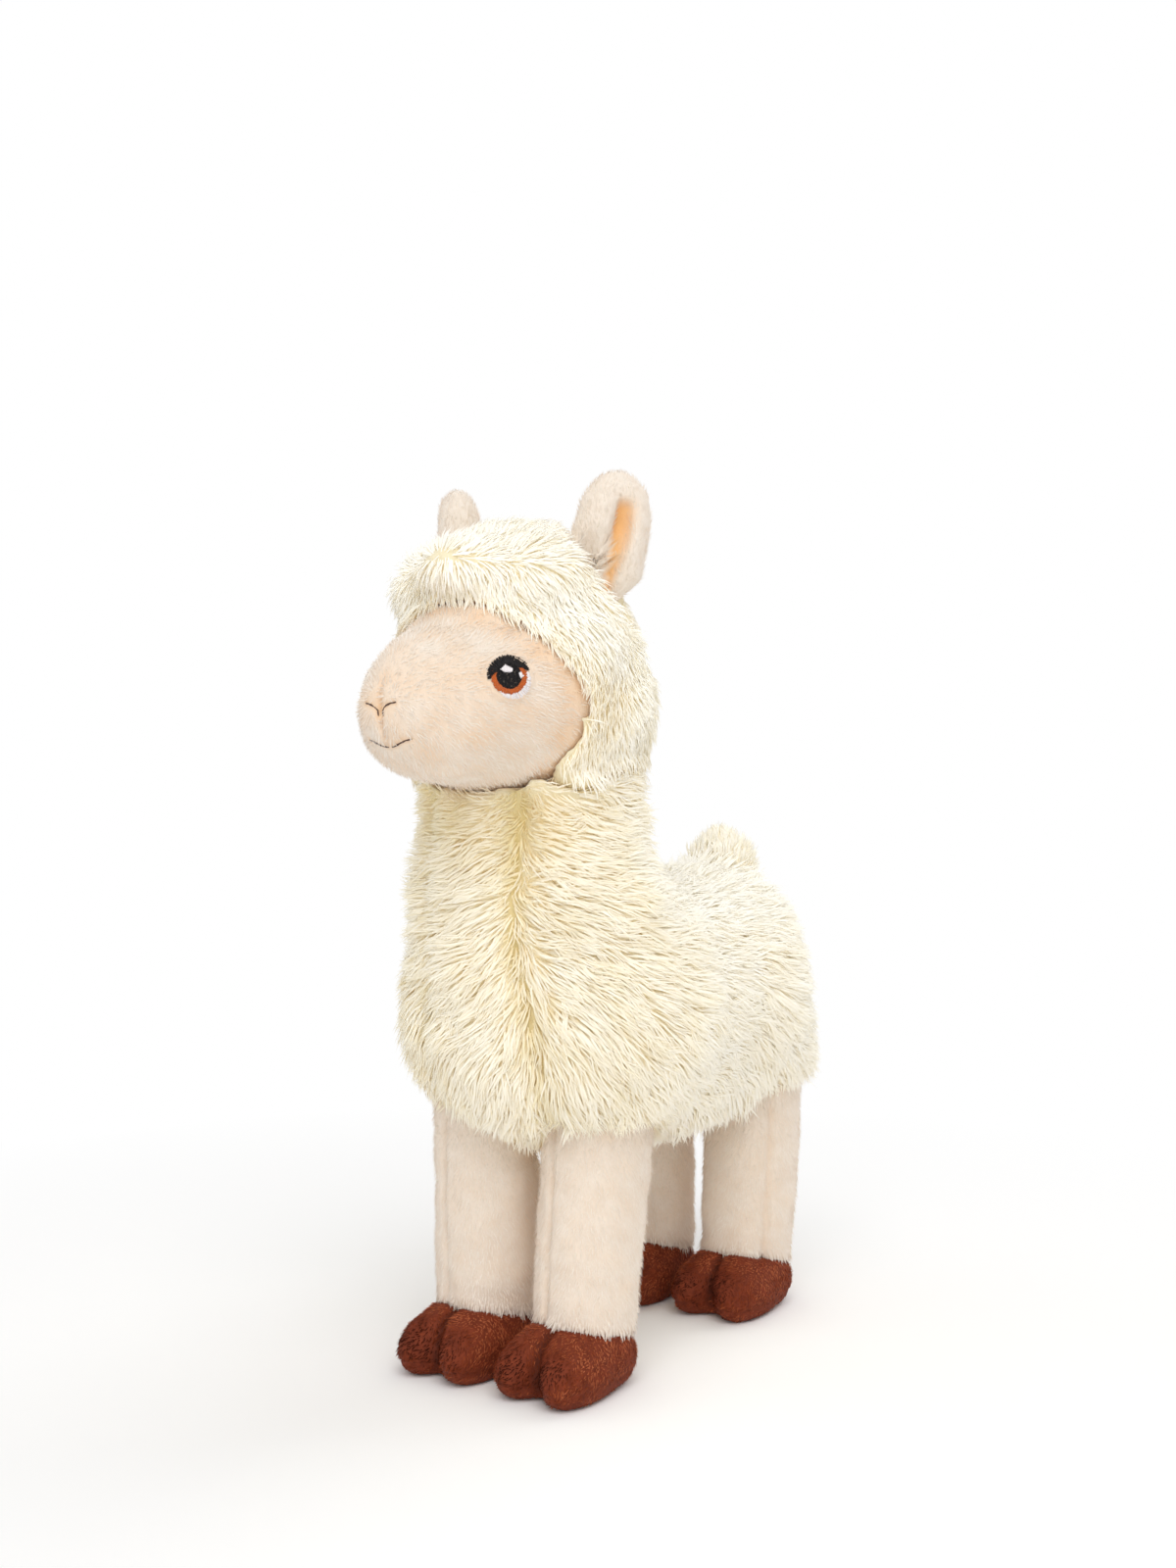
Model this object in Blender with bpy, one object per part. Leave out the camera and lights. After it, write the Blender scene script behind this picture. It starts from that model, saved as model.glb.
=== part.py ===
"""Plush llama standing on four legs, built as stuffed fabric sections in metres, +Z up.

The llama faces -Y and its own left side is +X. The origin is the middle of the footprint on
the floor. Heights are stacked from the floor: sole, hoof, leg, torso, neck, head, ears.
"""

import math

import bmesh
import bpy
from mathutils import Matrix, Vector, noise
from mathutils.bvhtree import BVHTree

# Clearances between sewn neighbours.
GAP = 0.0003
SEAM_DEPTH = 0.0011

# Legs and hooves.
SOLE_HEIGHT = 0.0046
HOOF_HEIGHT = 0.0165
HOOF_TOP_TILT = math.radians(13.0)
HOOF_HALF_WIDTH = 0.0166
TOE_REACH = 0.0315
HEEL_REACH = 0.0152
TOE_HEIGHT = 0.0175
LEG_RADIUS = 0.0168
LEG_LENGTH = 0.056
LEG_X = 0.0184
FRONT_FOOT_Y = -0.0295
HIND_FOOT_Y = 0.0680

# Torso and neck.
CHEST_HALF_WIDTH = 0.0517
CHEST_HALF_DEPTH = 0.0522
CHEST_Y = -0.0140
RUMP_HALF_WIDTH = 0.0475
RUMP_HALF_LENGTH = 0.0475
RUMP_Y = 0.0520
TORSO_DEPTH = 0.0870
NECK_RADIUS = 0.0352
NECK_Y = -0.0318
NECK_LENGTH = 0.0290
BIB_SEAM_X = 0.0170
FLEECE_RELIEF = 0.0017
FLEECE_TUFT = 0.0125

# Head.
HEAD_HEIGHT = 0.0835
CHEEK_HALF_WIDTH = 0.0356
FACE_HALF_HEIGHT = 0.0280
CHEEK_Y = -0.0480
MUZZLE_RADIUS = 0.0172
MUZZLE_Y = -0.0862
HOOD_HALF_WIDTH = 0.0412
HOOD_HALF_LENGTH = 0.0345
HOOD_Y = -0.0385
BRIM_Y = -0.0560
BRIM_THICK = 0.0145
FACE_BACK_Y = -0.0380

# Ears.
EAR_HEIGHT = 0.0500
EAR_WIDTH = 0.0246
EAR_DEPTH = 0.0162
EAR_CREASE = 0.0068
EAR_LEAN = 0.0040
EAR_X = 0.0290
EAR_Y = -0.0310
EAR_TURN = math.radians(50.0)
EAR_TIP_RISE = 0.0130

# Embroidery.
THREAD_RADIUS = 0.00055
PATCH_THICK = 0.0008
EYE_X = 0.0257
EYE_Y = -0.0772
EYE_TURN = math.radians(37.0)
EYE_RADIUS = 0.0062
IRIS_RADIUS = 0.0049
PUPIL_RADIUS = 0.0035

# Tail.
TAIL_Y = 0.0830
TAIL_RADIUS = 0.0128
TAIL_HEIGHT = 0.0185

# Heights that follow from the sizes above.
BELLY_Z = HOOF_HEIGHT + LEG_LENGTH - 0.0080
TORSO_MID_Z = BELLY_Z + TORSO_DEPTH * 0.53
TORSO_TOP_Z = BELLY_Z + TORSO_DEPTH
JAW_Z = TORSO_TOP_Z + NECK_LENGTH - 0.0045
FACE_Z = JAW_Z + FACE_HALF_HEIGHT
CROWN_Z = JAW_Z + HEAD_HEIGHT
HOOD_Z = CROWN_Z - HOOD_HALF_WIDTH * 0.98
BRIM_Z = CROWN_Z - BRIM_THICK * 1.30
EYE_Z = FACE_Z + FACE_HALF_HEIGHT * 0.173
EAR_BASE_Z = CROWN_Z + EAR_TIP_RISE - EAR_HEIGHT

# Each leg: its side, the middle of its foot, the rear shift of its top, its thickness at the
# top against LEG_RADIUS, and the angle of its seam from the front toward the llama's left.
LEGS = {
    "front_left": (1, FRONT_FOOT_Y, 0.0080, 1.00, math.radians(-18.0)),
    "front_right": (-1, FRONT_FOOT_Y, -0.0005, 1.00, math.radians(-18.0)),
    "hind_left": (1, HIND_FOOT_Y + 0.0010, 0.0075, 1.05, math.radians(52.0)),
    "hind_right": (-1, HIND_FOOT_Y - 0.0025, -0.0015, 0.98, math.radians(-52.0)),
}

MATERIALS = {
    "fleece": ((0.90, 0.84, 0.68), 0.95),
    "short_pile": ((0.84, 0.72, 0.58), 0.9),
    "hoof_plush": ((0.20, 0.055, 0.02), 0.85),
    "sole_plush": ((0.15, 0.04, 0.015), 0.85),
    "thread_dark": ((0.035, 0.018, 0.012), 0.6),
    "thread_black": ((0.012, 0.010, 0.012), 0.5),
    "thread_iris": ((0.48, 0.13, 0.02), 0.5),
    "thread_white": ((0.85, 0.83, 0.82), 0.5),
}


def material_for(kind, name):
    """Gives the node called name a Principled material of its own, of one of the kinds above."""
    color, roughness = MATERIALS[kind]
    made = bpy.data.materials.new(f"{kind} {name}")
    made.use_nodes = True
    shader = next(n for n in made.node_tree.nodes if n.type == "BSDF_PRINCIPLED")
    shader.inputs["Base Color"].default_value = (*color, 1.0)
    shader.inputs["Roughness"].default_value = roughness
    made.diffuse_color = (*color, 1.0)
    return made


def linked(name, mesh):
    """Puts a mesh in the scene as an object of that name."""
    obj = bpy.data.objects.new(name, mesh)
    bpy.context.scene.collection.objects.link(obj)
    return obj


def from_bmesh(name, bm):
    """Turns a bmesh into an object in the scene."""
    mesh = bpy.data.meshes.new(name)
    bmesh.ops.recalc_face_normals(bm, faces=bm.faces)
    bm.to_mesh(mesh)
    bm.free()
    return linked(name, mesh)


def ellipsoid(center, radii, turn=None):
    """A closed ellipsoid with its radii along X, Y and Z, turned by the matrix turn."""
    bm = bmesh.new()
    bmesh.ops.create_icosphere(bm, subdivisions=4, radius=1.0)
    spin = turn or Matrix.Identity(4)
    place = Matrix.Translation(center) @ spin @ Matrix.Diagonal((*radii, 1.0))
    bmesh.ops.transform(bm, matrix=place, verts=bm.verts)
    return from_bmesh("ellipsoid", bm)


def ring_loft(name, rings):
    """A closed solid through rings of points, with a flat fan at each end."""
    bm = bmesh.new()
    rows = [[bm.verts.new(p) for p in ring] for ring in rings]
    count = len(rings[0])
    for low, high in zip(rows, rows[1:]):
        for i in range(count):
            j = (i + 1) % count
            bm.faces.new((low[i], low[j], high[j], high[i]))
    for row in (rows[0], rows[-1]):
        middle = bm.verts.new(sum((v.co for v in row), Vector()) / count)
        for i in range(count):
            bm.faces.new((row[i], row[(i + 1) % count], middle))
    return from_bmesh(name, bm)


def column(bottom, top, radii_low, radii_high, count=32):
    """A closed elliptic column from a bottom centre to a top centre."""
    rings = []
    for center, radii in ((bottom, radii_low), (top, radii_high)):
        rings.append(
            [
                Vector(center)
                + Vector(
                    (
                        radii[0] * math.cos(2 * math.pi * i / count),
                        radii[1] * math.sin(2 * math.pi * i / count),
                        0.0,
                    )
                )
                for i in range(count)
            ]
        )
    return ring_loft("column", rings)


def discard(*objects):
    """Takes helper solids out of the scene."""
    for obj in objects:
        bpy.data.objects.remove(obj, do_unlink=True)


def settled(obj):
    """Writes the modifiers of an object into its mesh."""
    graph = bpy.context.evaluated_depsgraph_get()
    graph.update()
    mesh = bpy.data.meshes.new_from_object(obj.evaluated_get(graph))
    obj.modifiers.clear()
    obj.data = mesh
    return obj


def combined(obj, other, operation):
    """Cuts, joins or intersects obj with another solid, which is kept."""
    step = obj.modifiers.new(operation.title(), "BOOLEAN")
    step.operation = operation
    step.solver = "EXACT"
    step.object = other
    return settled(obj)


def cut(obj, *cutters):
    """Cuts the cutters out of obj and discards them."""
    for cutter in cutters:
        combined(obj, cutter, "DIFFERENCE")
    discard(*cutters)
    return obj


def swollen(obj, distance):
    """A copy of a solid with its surface moved outward by a distance."""
    bm = bmesh.new()
    bm.from_mesh(obj.data)
    bm.normal_update()
    shifts = [v.normal * distance * min(v.calc_shell_factor(), 1.6) for v in bm.verts]
    for vert, shift in zip(bm.verts, shifts):
        vert.co += shift
    return from_bmesh("swollen " + obj.name, bm)


def fused(name, parts, voxel, smoothing):
    """Melts overlapping solids into one smooth skin."""
    bm = bmesh.new()
    for part in parts:
        bm.from_mesh(part.data)
    discard(*parts)
    obj = from_bmesh(name, bm)
    skin = obj.modifiers.new("Skin", "REMESH")
    skin.mode = "VOXEL"
    skin.voxel_size = voxel
    settled(obj)
    bm = bmesh.new()
    bm.from_mesh(obj.data)
    for _ in range(smoothing):
        bmesh.ops.smooth_vert(
            bm, verts=bm.verts, factor=0.5, use_axis_x=True, use_axis_y=True, use_axis_z=True
        )
    bm.to_mesh(obj.data)
    bm.free()
    return obj


def pushed(obj, amount_at):
    """Moves each point of a skin along its normal by amount_at(point, normal)."""
    bm = bmesh.new()
    bm.from_mesh(obj.data)
    bm.normal_update()
    shifts = [v.normal * amount_at(v.co, v.normal) for v in bm.verts]
    for vert, shift in zip(bm.verts, shifts):
        vert.co += shift
    bm.to_mesh(obj.data)
    bm.free()
    return obj


def thinned(obj, triangles):
    """Reduces a skin to about a number of triangles."""
    count = sum(len(p.vertices) - 2 for p in obj.data.polygons)
    step = obj.modifiers.new("Thin", "DECIMATE")
    step.ratio = min(1.0, triangles / count)
    step.use_collapse_triangulate = True
    return settled(obj)


def fleece_lumps(point, _normal):
    """Height of the fleece tufts, the same on both sides of the llama."""
    x, y, z = abs(point.x), point.y, point.z
    coarse = noise.noise(Vector((x, y, z * 0.62)) / FLEECE_TUFT)
    fine = noise.noise(Vector((x + 0.3, y, z * 0.55)) / (FLEECE_TUFT * 0.5))
    return FLEECE_RELIEF * (0.9 * coarse + 0.55 * fine)


def valley(distance, width):
    """Depth of a seam at a distance from it, from 0 to 1."""
    return math.exp(-((distance / width) ** 2))


def finish(obj, name, kind):
    """Cleans a finished piece, names it and gives it its material."""
    bm = bmesh.new()
    bm.from_mesh(obj.data)
    bmesh.ops.remove_doubles(bm, verts=bm.verts, dist=2e-6)
    bmesh.ops.dissolve_degenerate(bm, edges=bm.edges, dist=2e-6)
    bmesh.ops.triangulate(bm, faces=bm.faces)
    bmesh.ops.recalc_face_normals(bm, faces=bm.faces)
    bm.to_mesh(obj.data)
    bm.free()
    obj.name = name
    obj.data.name = name
    obj.data.materials.clear()
    obj.data.materials.append(material_for(kind, name))
    for polygon in obj.data.polygons:
        polygon.use_smooth = True
        polygon.material_index = 0
    return obj


# Torso and neck, one stuffed skin of long fleece.
def make_body():
    """The torso with its neck, with the two bib seams and the fleece relief."""
    half = TORSO_DEPTH / 2
    top = TORSO_TOP_Z
    parts = [
        ellipsoid((0, CHEST_Y, TORSO_MID_Z), (CHEST_HALF_WIDTH, CHEST_HALF_DEPTH, half * 1.14)),
        ellipsoid((0, RUMP_Y, TORSO_MID_Z - 0.002), (RUMP_HALF_WIDTH, RUMP_HALF_LENGTH, half)),
        ellipsoid(
            (0, RUMP_Y + RUMP_HALF_LENGTH * 0.22, top - half * 0.52),
            (RUMP_HALF_WIDTH * 0.80, RUMP_HALF_LENGTH * 0.72, half * 0.54),
        ),
        ellipsoid(
            (0, (CHEST_Y + RUMP_Y) / 2, TORSO_MID_Z - 0.002),
            (RUMP_HALF_WIDTH * 0.98, RUMP_HALF_LENGTH * 1.1, half * 0.99),
        ),
        ellipsoid(
            (0, RUMP_Y + RUMP_HALF_LENGTH * 0.53, TORSO_MID_Z - half * 0.28),
            (RUMP_HALF_WIDTH * 0.83, RUMP_HALF_LENGTH * 0.56, half * 0.40),
        ),
        column(
            (0, NECK_Y + 0.001, TORSO_MID_Z + half * 0.25),
            (0, NECK_Y + 0.001, JAW_Z + 0.012),
            (NECK_RADIUS * 1.12, NECK_RADIUS * 1.02),
            (NECK_RADIUS * 0.98, NECK_RADIUS * 0.98),
        ),
        ellipsoid(
            (0, CHEST_Y - 0.013, top - 0.010),
            (CHEST_HALF_WIDTH * 0.86, CHEST_HALF_DEPTH * 0.70, half * 0.52),
        ),
    ]
    for side in (-1, 1):
        parts.append(
            ellipsoid(
                (side * LEG_X * 1.02, FRONT_FOOT_Y + 0.008, BELLY_Z + 0.0225),
                (LEG_RADIUS * 1.36, LEG_RADIUS * 1.46, 0.019),
            )
        )
        parts.append(
            ellipsoid(
                (side * LEG_X * 1.05, HIND_FOOT_Y + 0.005, BELLY_Z + 0.022),
                (LEG_RADIUS * 1.36, LEG_RADIUS * 1.5, 0.019),
            )
        )
    body = fused("body", parts, 0.0024, 5)

    def surface(point, normal):
        height = 0.0006 + fleece_lumps(point, normal)
        if normal.y < 0.25 and point.y < CHEST_Y + 0.01:
            height -= 1.5 * SEAM_DEPTH * valley(abs(point.x) - BIB_SEAM_X, 0.0032)
        return height

    pushed(body, surface)
    return thinned(body, 2450)


# Head: the short-pile face, and the fleece hood that holds it.
def make_face():
    """Cheeks, sloping nose bridge and blunt muzzle, cut flat at the back."""
    parts = [
        ellipsoid((0, CHEEK_Y, FACE_Z), (CHEEK_HALF_WIDTH, 0.0405, FACE_HALF_HEIGHT)),
        ellipsoid(
            (0, CHEEK_Y - 0.018, FACE_Z - 0.0015),
            (CHEEK_HALF_WIDTH * 0.80, 0.031, FACE_HALF_HEIGHT * 0.86),
        ),
        ellipsoid(
            (0, CHEEK_Y - 0.012, FACE_Z + 0.0020),
            (CHEEK_HALF_WIDTH * 0.80, 0.0235, FACE_HALF_HEIGHT * 0.985),
        ),
        ellipsoid(
            (0, MUZZLE_Y, FACE_Z - 0.0045),
            (MUZZLE_RADIUS, MUZZLE_RADIUS * 1.02, MUZZLE_RADIUS * 0.96),
        ),
        ellipsoid(
            (0, (CHEEK_Y + MUZZLE_Y) / 2 - 0.004, FACE_Z + 0.002),
            (MUZZLE_RADIUS * 1.02, 0.030, FACE_HALF_HEIGHT * 0.72),
        ),
        ellipsoid(
            (0, MUZZLE_Y + 0.0125, FACE_Z - FACE_HALF_HEIGHT * 0.30),
            (CHEEK_HALF_WIDTH * 0.69, 0.0250, FACE_HALF_HEIGHT * 0.635),
        ),
    ]
    face = fused("face", parts, 0.0016, 6)

    def surface(point, normal):
        height = 0.0
        if normal.y < -0.35 and point.y < MUZZLE_Y:
            rise = (point.z - (FACE_Z - 0.0060)) / 0.0075
            height -= SEAM_DEPTH * valley(point.x, 0.0014) * valley(rise, 1.0)
        return height

    pushed(face, surface)
    thinned(face, 1050)
    reach = 0.1
    behind = [
        [Vector((sx * reach, y, FACE_Z + sz * reach)) for sx, sz in ((-1, -1), (1, -1), (1, 1), (-1, 1))]
        for y in (FACE_BACK_Y, FACE_BACK_Y + reach)
    ]
    return cut(face, ring_loft("behind", behind))


def make_hood():
    """Crown, puffed brim over the forehead, cheek rolls and nape, in long fleece."""
    parts = [
        ellipsoid(
            (0, HOOD_Y, HOOD_Z), (HOOD_HALF_WIDTH * 0.97, HOOD_HALF_LENGTH, HOOD_HALF_WIDTH * 0.98)
        ),
        ellipsoid((0, BRIM_Y, BRIM_Z + 0.001), (0.0200, 0.0240, BRIM_THICK * 0.76)),
        ellipsoid((0, BRIM_Y + 0.014, BRIM_Z + 0.003), (0.0345, 0.0245, BRIM_THICK * 0.93)),
        ellipsoid(
            (0, HOOD_Y + 0.0065, JAW_Z + 0.0270),
            (HOOD_HALF_WIDTH, HOOD_HALF_LENGTH * 1.01, 0.0320),
        ),
    ]
    for side in (-1, 1):
        parts.append(
            ellipsoid(
                (side * 0.0195, BRIM_Y + 0.0040, BRIM_Z - 0.0028), (0.0135, 0.0168, BRIM_THICK * 0.86)
            )
        )
        parts.append(
            ellipsoid((side * 0.0215, BRIM_Y + 0.0125, JAW_Z + 0.0180), (0.0165, 0.0130, 0.0185))
        )
        parts.append(
            ellipsoid((side * 0.0262, BRIM_Y + 0.0070, JAW_Z + 0.0340), (0.0130, 0.0125, 0.0235))
        )
    hood = fused("hood", parts, 0.0020, 5)
    pushed(hood, lambda point, normal: 0.0005 + fleece_lumps(point, normal))
    return thinned(hood, 1120)


# Ears: a padded leaf with a deep crease that opens forward and outward.
EAR_PROFILE = (
    (0.00, 0.60),
    (0.30, 0.76),
    (0.50, 0.94),
    (0.66, 1.00),
    (0.80, 0.93),
    (0.90, 0.74),
    (0.97, 0.42),
)


def make_ear(side):
    """One ear; its crease fades out below the rounded tip."""
    rings = []
    count = 20
    for rise, share in EAR_PROFILE:
        wide = EAR_WIDTH / 2 * share
        deep = EAR_DEPTH / 2 * share
        crease = EAR_CREASE * min(1.0, max(0.0, (0.86 - rise) / 0.14))
        shift = EAR_LEAN * (rise - 0.5)
        ring = []
        for i in range(count):
            turn = 2 * math.pi * i / count
            turn += 0.42 * math.sin(turn)
            angle = turn - math.pi
            radius = 1.0 / math.hypot(math.sin(angle) / wide, math.cos(angle) / deep)
            off = math.atan2(math.sin(turn - math.pi), math.cos(turn - math.pi))
            radius -= crease * valley(off, 0.36)
            ring.append(
                Vector(
                    (
                        radius * math.sin(off) + shift,
                        -radius * math.cos(off),
                        EAR_HEIGHT * rise,
                    )
                )
            )
        rings.append(ring)
    tip = sum(rings[-1], Vector()) / count
    rings[-1] = [p + Vector((0, 0, 0)) for p in rings[-1]]
    ear = ring_loft("ear", rings)
    for vert in ear.data.vertices:
        if (vert.co - tip).length < 1e-6:
            vert.co.z = EAR_HEIGHT
    place = Matrix.Translation((EAR_X, EAR_Y, EAR_BASE_Z)) @ Matrix.Rotation(EAR_TURN, 4, "Z")
    ear.data.transform(place)
    if side < 0:
        mirror(ear)
    return ear


def mirror(obj):
    """Turns a left piece into its right twin."""
    obj.data.transform(Matrix.Scale(-1, 4, (1, 0, 0)))
    obj.data.flip_normals()
    return obj


# Legs: padded tubes, each with one seam, standing on the tilted tops of the hooves.
def seam_tilt(y, leg_y):
    """Height of the leg seam above its middle height, at a distance in front of the leg."""
    return (leg_y - y) * math.tan(HOOF_TOP_TILT)


def make_leg(side, foot_y, shift, thick, seam_angle):
    """One leg, from the tilted hoof seam up into the belly, which trims its top."""
    count = 17
    levels = ((0.0, 0.92), (0.03, 0.96), (0.14, 0.98), (0.50, 0.99), (1.0, 1.0))
    tall = LEG_LENGTH + 0.016
    rings = []
    for rise, share in levels:
        ring = []
        for i in range(count):
            angle = seam_angle + 2 * math.pi * i / count
            reach = LEG_RADIUS * share * (1.0 + (thick - 1.0) * rise)
            if i == 0:
                reach -= SEAM_DEPTH
            x = reach * math.sin(angle)
            y = -reach * 1.04 * math.cos(angle)
            z = HOOF_HEIGHT + GAP + tall * rise + seam_tilt(y, 0.0) * (1.0 - rise)
            ring.append(Vector((side * LEG_X + x, foot_y + shift * rise + y, z)))
        rings.append(ring)
    return ring_loft("leg", rings)


# Hooves: two rounded toes with a cleft, over a wrapped sole panel.
def make_hoof_form(foot_y):
    """The whole foot form above the floor, before it is split at the sole seam."""
    half = HOOF_HALF_WIDTH
    toe_long = TOE_REACH * 0.585
    parts = [
        column(
            (0, foot_y - 0.001, HOOF_HEIGHT * 0.35),
            (0, foot_y, HOOF_HEIGHT + 0.012),
            (half * 0.95, half * 0.88),
            (LEG_RADIUS * 0.95, LEG_RADIUS * 0.985),
        ),
        ellipsoid((0, foot_y, HOOF_HEIGHT * 0.50), (half, HEEL_REACH * 1.03, HOOF_HEIGHT * 0.72)),
        ellipsoid((0, foot_y - 0.011, HOOF_HEIGHT * 0.6), (half * 0.96, 0.0150, TOE_HEIGHT * 0.62)),
    ]
    for side in (-1, 1):
        parts.append(
            ellipsoid(
                (side * half * 0.49, foot_y - TOE_REACH + toe_long, TOE_HEIGHT * 0.42),
                (half * 0.535, toe_long, TOE_HEIGHT * 0.58),
            )
        )
    foot = fused("foot", parts, 0.0012, 4)

    def surface(point, normal):
        ahead = min(1.0, max(0.0, (foot_y - LEG_RADIUS * 0.55 - point.y) / 0.010))
        if normal.z < -0.5:
            ahead = 0.0
        return 0.0006 - 0.0026 * ahead * valley(point.x, 0.0019)

    pushed(foot, surface)
    limit = LEG_X - GAP
    for vert in foot.data.vertices:
        if abs(vert.co.x) > limit:
            vert.co.x = math.copysign(limit, vert.co.x)
    return thinned(foot, 330)


def slab(low_z, high_z, foot_y, tilt=0.0):
    """A wide block between two heights, its faces tilted about the leg's own middle."""
    reach = 0.08
    rings = []
    for z in (low_z, high_z):
        rings.append(
            [
                Vector((sx * reach, foot_y + sy * reach, z - sy * reach * math.tan(tilt)))
                for sx, sy in ((-1, -1), (1, -1), (1, 1), (-1, 1))
            ]
        )
    return ring_loft("slab", rings)


def make_foot(side, foot_y):
    """The hoof upper and its sole for one leg, as two pieces."""
    foot = make_hoof_form(foot_y)
    above = slab(HOOF_HEIGHT, HOOF_HEIGHT + 0.05, foot_y, HOOF_TOP_TILT)
    cut(foot, slab(-0.03, 0.0, foot_y), above)
    sole = linked("sole", foot.data.copy())
    cut(sole, slab(SOLE_HEIGHT - GAP, 0.05, foot_y))
    cut(foot, slab(-0.03, SOLE_HEIGHT, foot_y))
    for piece in (foot, sole):
        piece.data.transform(Matrix.Translation((side * LEG_X, 0, 0)))
    return foot, sole


# Tail: a short upright tuft.
def make_tail():
    """The tail tuft, trimmed by the rump."""
    base = TORSO_TOP_Z - 0.0130
    tail = fused(
        "tail",
        [
            ellipsoid((0, TAIL_Y, base + 0.010), (TAIL_RADIUS, TAIL_RADIUS, TAIL_HEIGHT * 0.80)),
            ellipsoid(
                (0, TAIL_Y + 0.004, base + 0.012), (TAIL_RADIUS * 0.8, TAIL_RADIUS, TAIL_HEIGHT * 0.55)
            ),
        ],
        0.0014,
        4,
    )
    pushed(tail, fleece_lumps)
    return thinned(tail, 280)


# Embroidery: flat stitched patches that follow the face, and thread lines on the muzzle.
def prism(outline, depth):
    """A block with a flat outline, standing along its local Z."""
    bm = bmesh.new()
    low, high = ([bm.verts.new((u, v, w)) for u, v in outline] for w in (-depth, depth))
    for i in range(len(outline)):
        j = (i + 1) % len(outline)
        bm.faces.new((low[i], low[j], high[j], high[i]))
    bm.faces.new(low)
    bm.faces.new(high)
    bmesh.ops.triangulate(bm, faces=bm.faces)
    return from_bmesh("prism", bm)


def disc(center, radius, count=16):
    """A round outline."""
    return [
        (
            center[0] + radius * math.cos(2 * math.pi * i / count),
            center[1] + radius * math.sin(2 * math.pi * i / count),
        )
        for i in range(count)
    ]


def eye_matrix():
    """Places the eye's own plane: U toward the nose, V up, W out of the cheek."""
    out = Vector((math.cos(EYE_TURN), -math.sin(EYE_TURN), 0.0))
    nose = Vector((-math.sin(EYE_TURN), -math.cos(EYE_TURN), 0.0))
    up = Vector((0.0, 0.0, 1.0))
    spin = Matrix((nose, up, out)).transposed().to_4x4()
    return Matrix.Translation((EYE_X, EYE_Y, EYE_Z)) @ spin


def lid_outline(grow=0.0):
    """The upper lid: a crescent from the inner to the outer corner of the eye."""
    outer = EYE_RADIUS + grow
    inner = IRIS_RADIUS * 1.15 - grow
    drop = IRIS_RADIUS * 0.45
    more = math.degrees(grow / EYE_RADIUS) * 1.8
    arc = []
    steps = 8
    for i in range(steps + 1):
        angle = math.radians(-2.0 - more + (160.0 + 2 * more) * i / steps)
        arc.append((outer * math.cos(angle), outer * math.sin(angle)))
    for i in range(steps + 1):
        angle = math.radians(150.0 + more - (127.0 + 2 * more) * i / steps)
        arc.append((inner * math.cos(angle), inner * math.sin(angle) - drop))
    return arc


def shell_part(face_low, face_high, solid):
    """The part of a prism that lies between two skins over the face."""
    combined(solid, face_high, "INTERSECT")
    combined(solid, face_low, "DIFFERENCE")
    return solid


def make_eye_parts(face):
    """The left eye's stitched fields by name, each clear of the next by the gap."""
    low = swollen(face, GAP)
    high = swollen(face, GAP + PATCH_THICK)
    depth = 0.008
    pupil = (PUPIL_RADIUS * 0.16, PUPIL_RADIUS * 0.06)
    big = (PUPIL_RADIUS * 0.30, PUPIL_RADIUS * 0.66)
    small = (-PUPIL_RADIUS * 0.93, PUPIL_RADIUS * 0.22)

    def black(grow):
        """The pupil joined with the lid."""
        disc_part = prism(disc(pupil, PUPIL_RADIUS + grow), depth)
        lid = prism(lid_outline(grow), depth * 1.1)
        combined(disc_part, lid, "UNION")
        discard(lid)
        return disc_part

    def glint(center, wide, tall, grow):
        """One highlight; as a cutter it is grown and longer than what it cuts."""
        return prism(
            [
                (center[0] + (wide + grow) * math.cos(a), center[1] + (tall + grow) * math.sin(a))
                for a in (2 * math.pi * i / 8 for i in range(8))
            ],
            depth * 1.25,
        )

    glints = ((big, PUPIL_RADIUS * 0.42, PUPIL_RADIUS * 0.26), (small, PUPIL_RADIUS * 0.19, PUPIL_RADIUS * 0.27))
    parts = {}
    parts["eye_black"] = cut(black(0.0), *(glint(*g, GAP) for g in glints))
    parts["eye_iris"] = cut(
        prism(disc((0, 0), IRIS_RADIUS), depth), black(GAP), *(glint(*g, GAP) for g in glints)
    )
    parts["eye_white"] = cut(
        prism(disc((-EYE_RADIUS * 0.15, -EYE_RADIUS * 0.11), EYE_RADIUS * 0.90), depth),
        prism(disc((0, 0), IRIS_RADIUS + GAP), depth),
        black(GAP),
    )
    parts["eye_glint_large"] = glint(*glints[0], 0.0)
    parts["eye_glint_small"] = glint(*glints[1], 0.0)
    place = eye_matrix()
    for solid in parts.values():
        solid.data.transform(place)
        solid.data.flip_normals()
        shell_part(low, high, solid)
    discard(low, high)
    return parts


def largest(obj):
    """Keeps only the largest separate solid of a piece."""
    bm = bmesh.new()
    bm.from_mesh(obj.data)
    bm.verts.ensure_lookup_table()
    seen, groups = set(), []
    for vert in bm.verts:
        if vert.index in seen:
            continue
        group, queue = [], [vert]
        seen.add(vert.index)
        while queue:
            at = queue.pop()
            group.append(at)
            for edge in at.link_edges:
                other = edge.other_vert(at)
                if other.index not in seen:
                    seen.add(other.index)
                    queue.append(other)
        groups.append(group)
    groups.sort(key=len, reverse=True)
    for group in groups[1:]:
        bmesh.ops.delete(bm, geom=group, context="VERTS")
    bm.to_mesh(obj.data)
    bm.free()
    return obj


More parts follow.
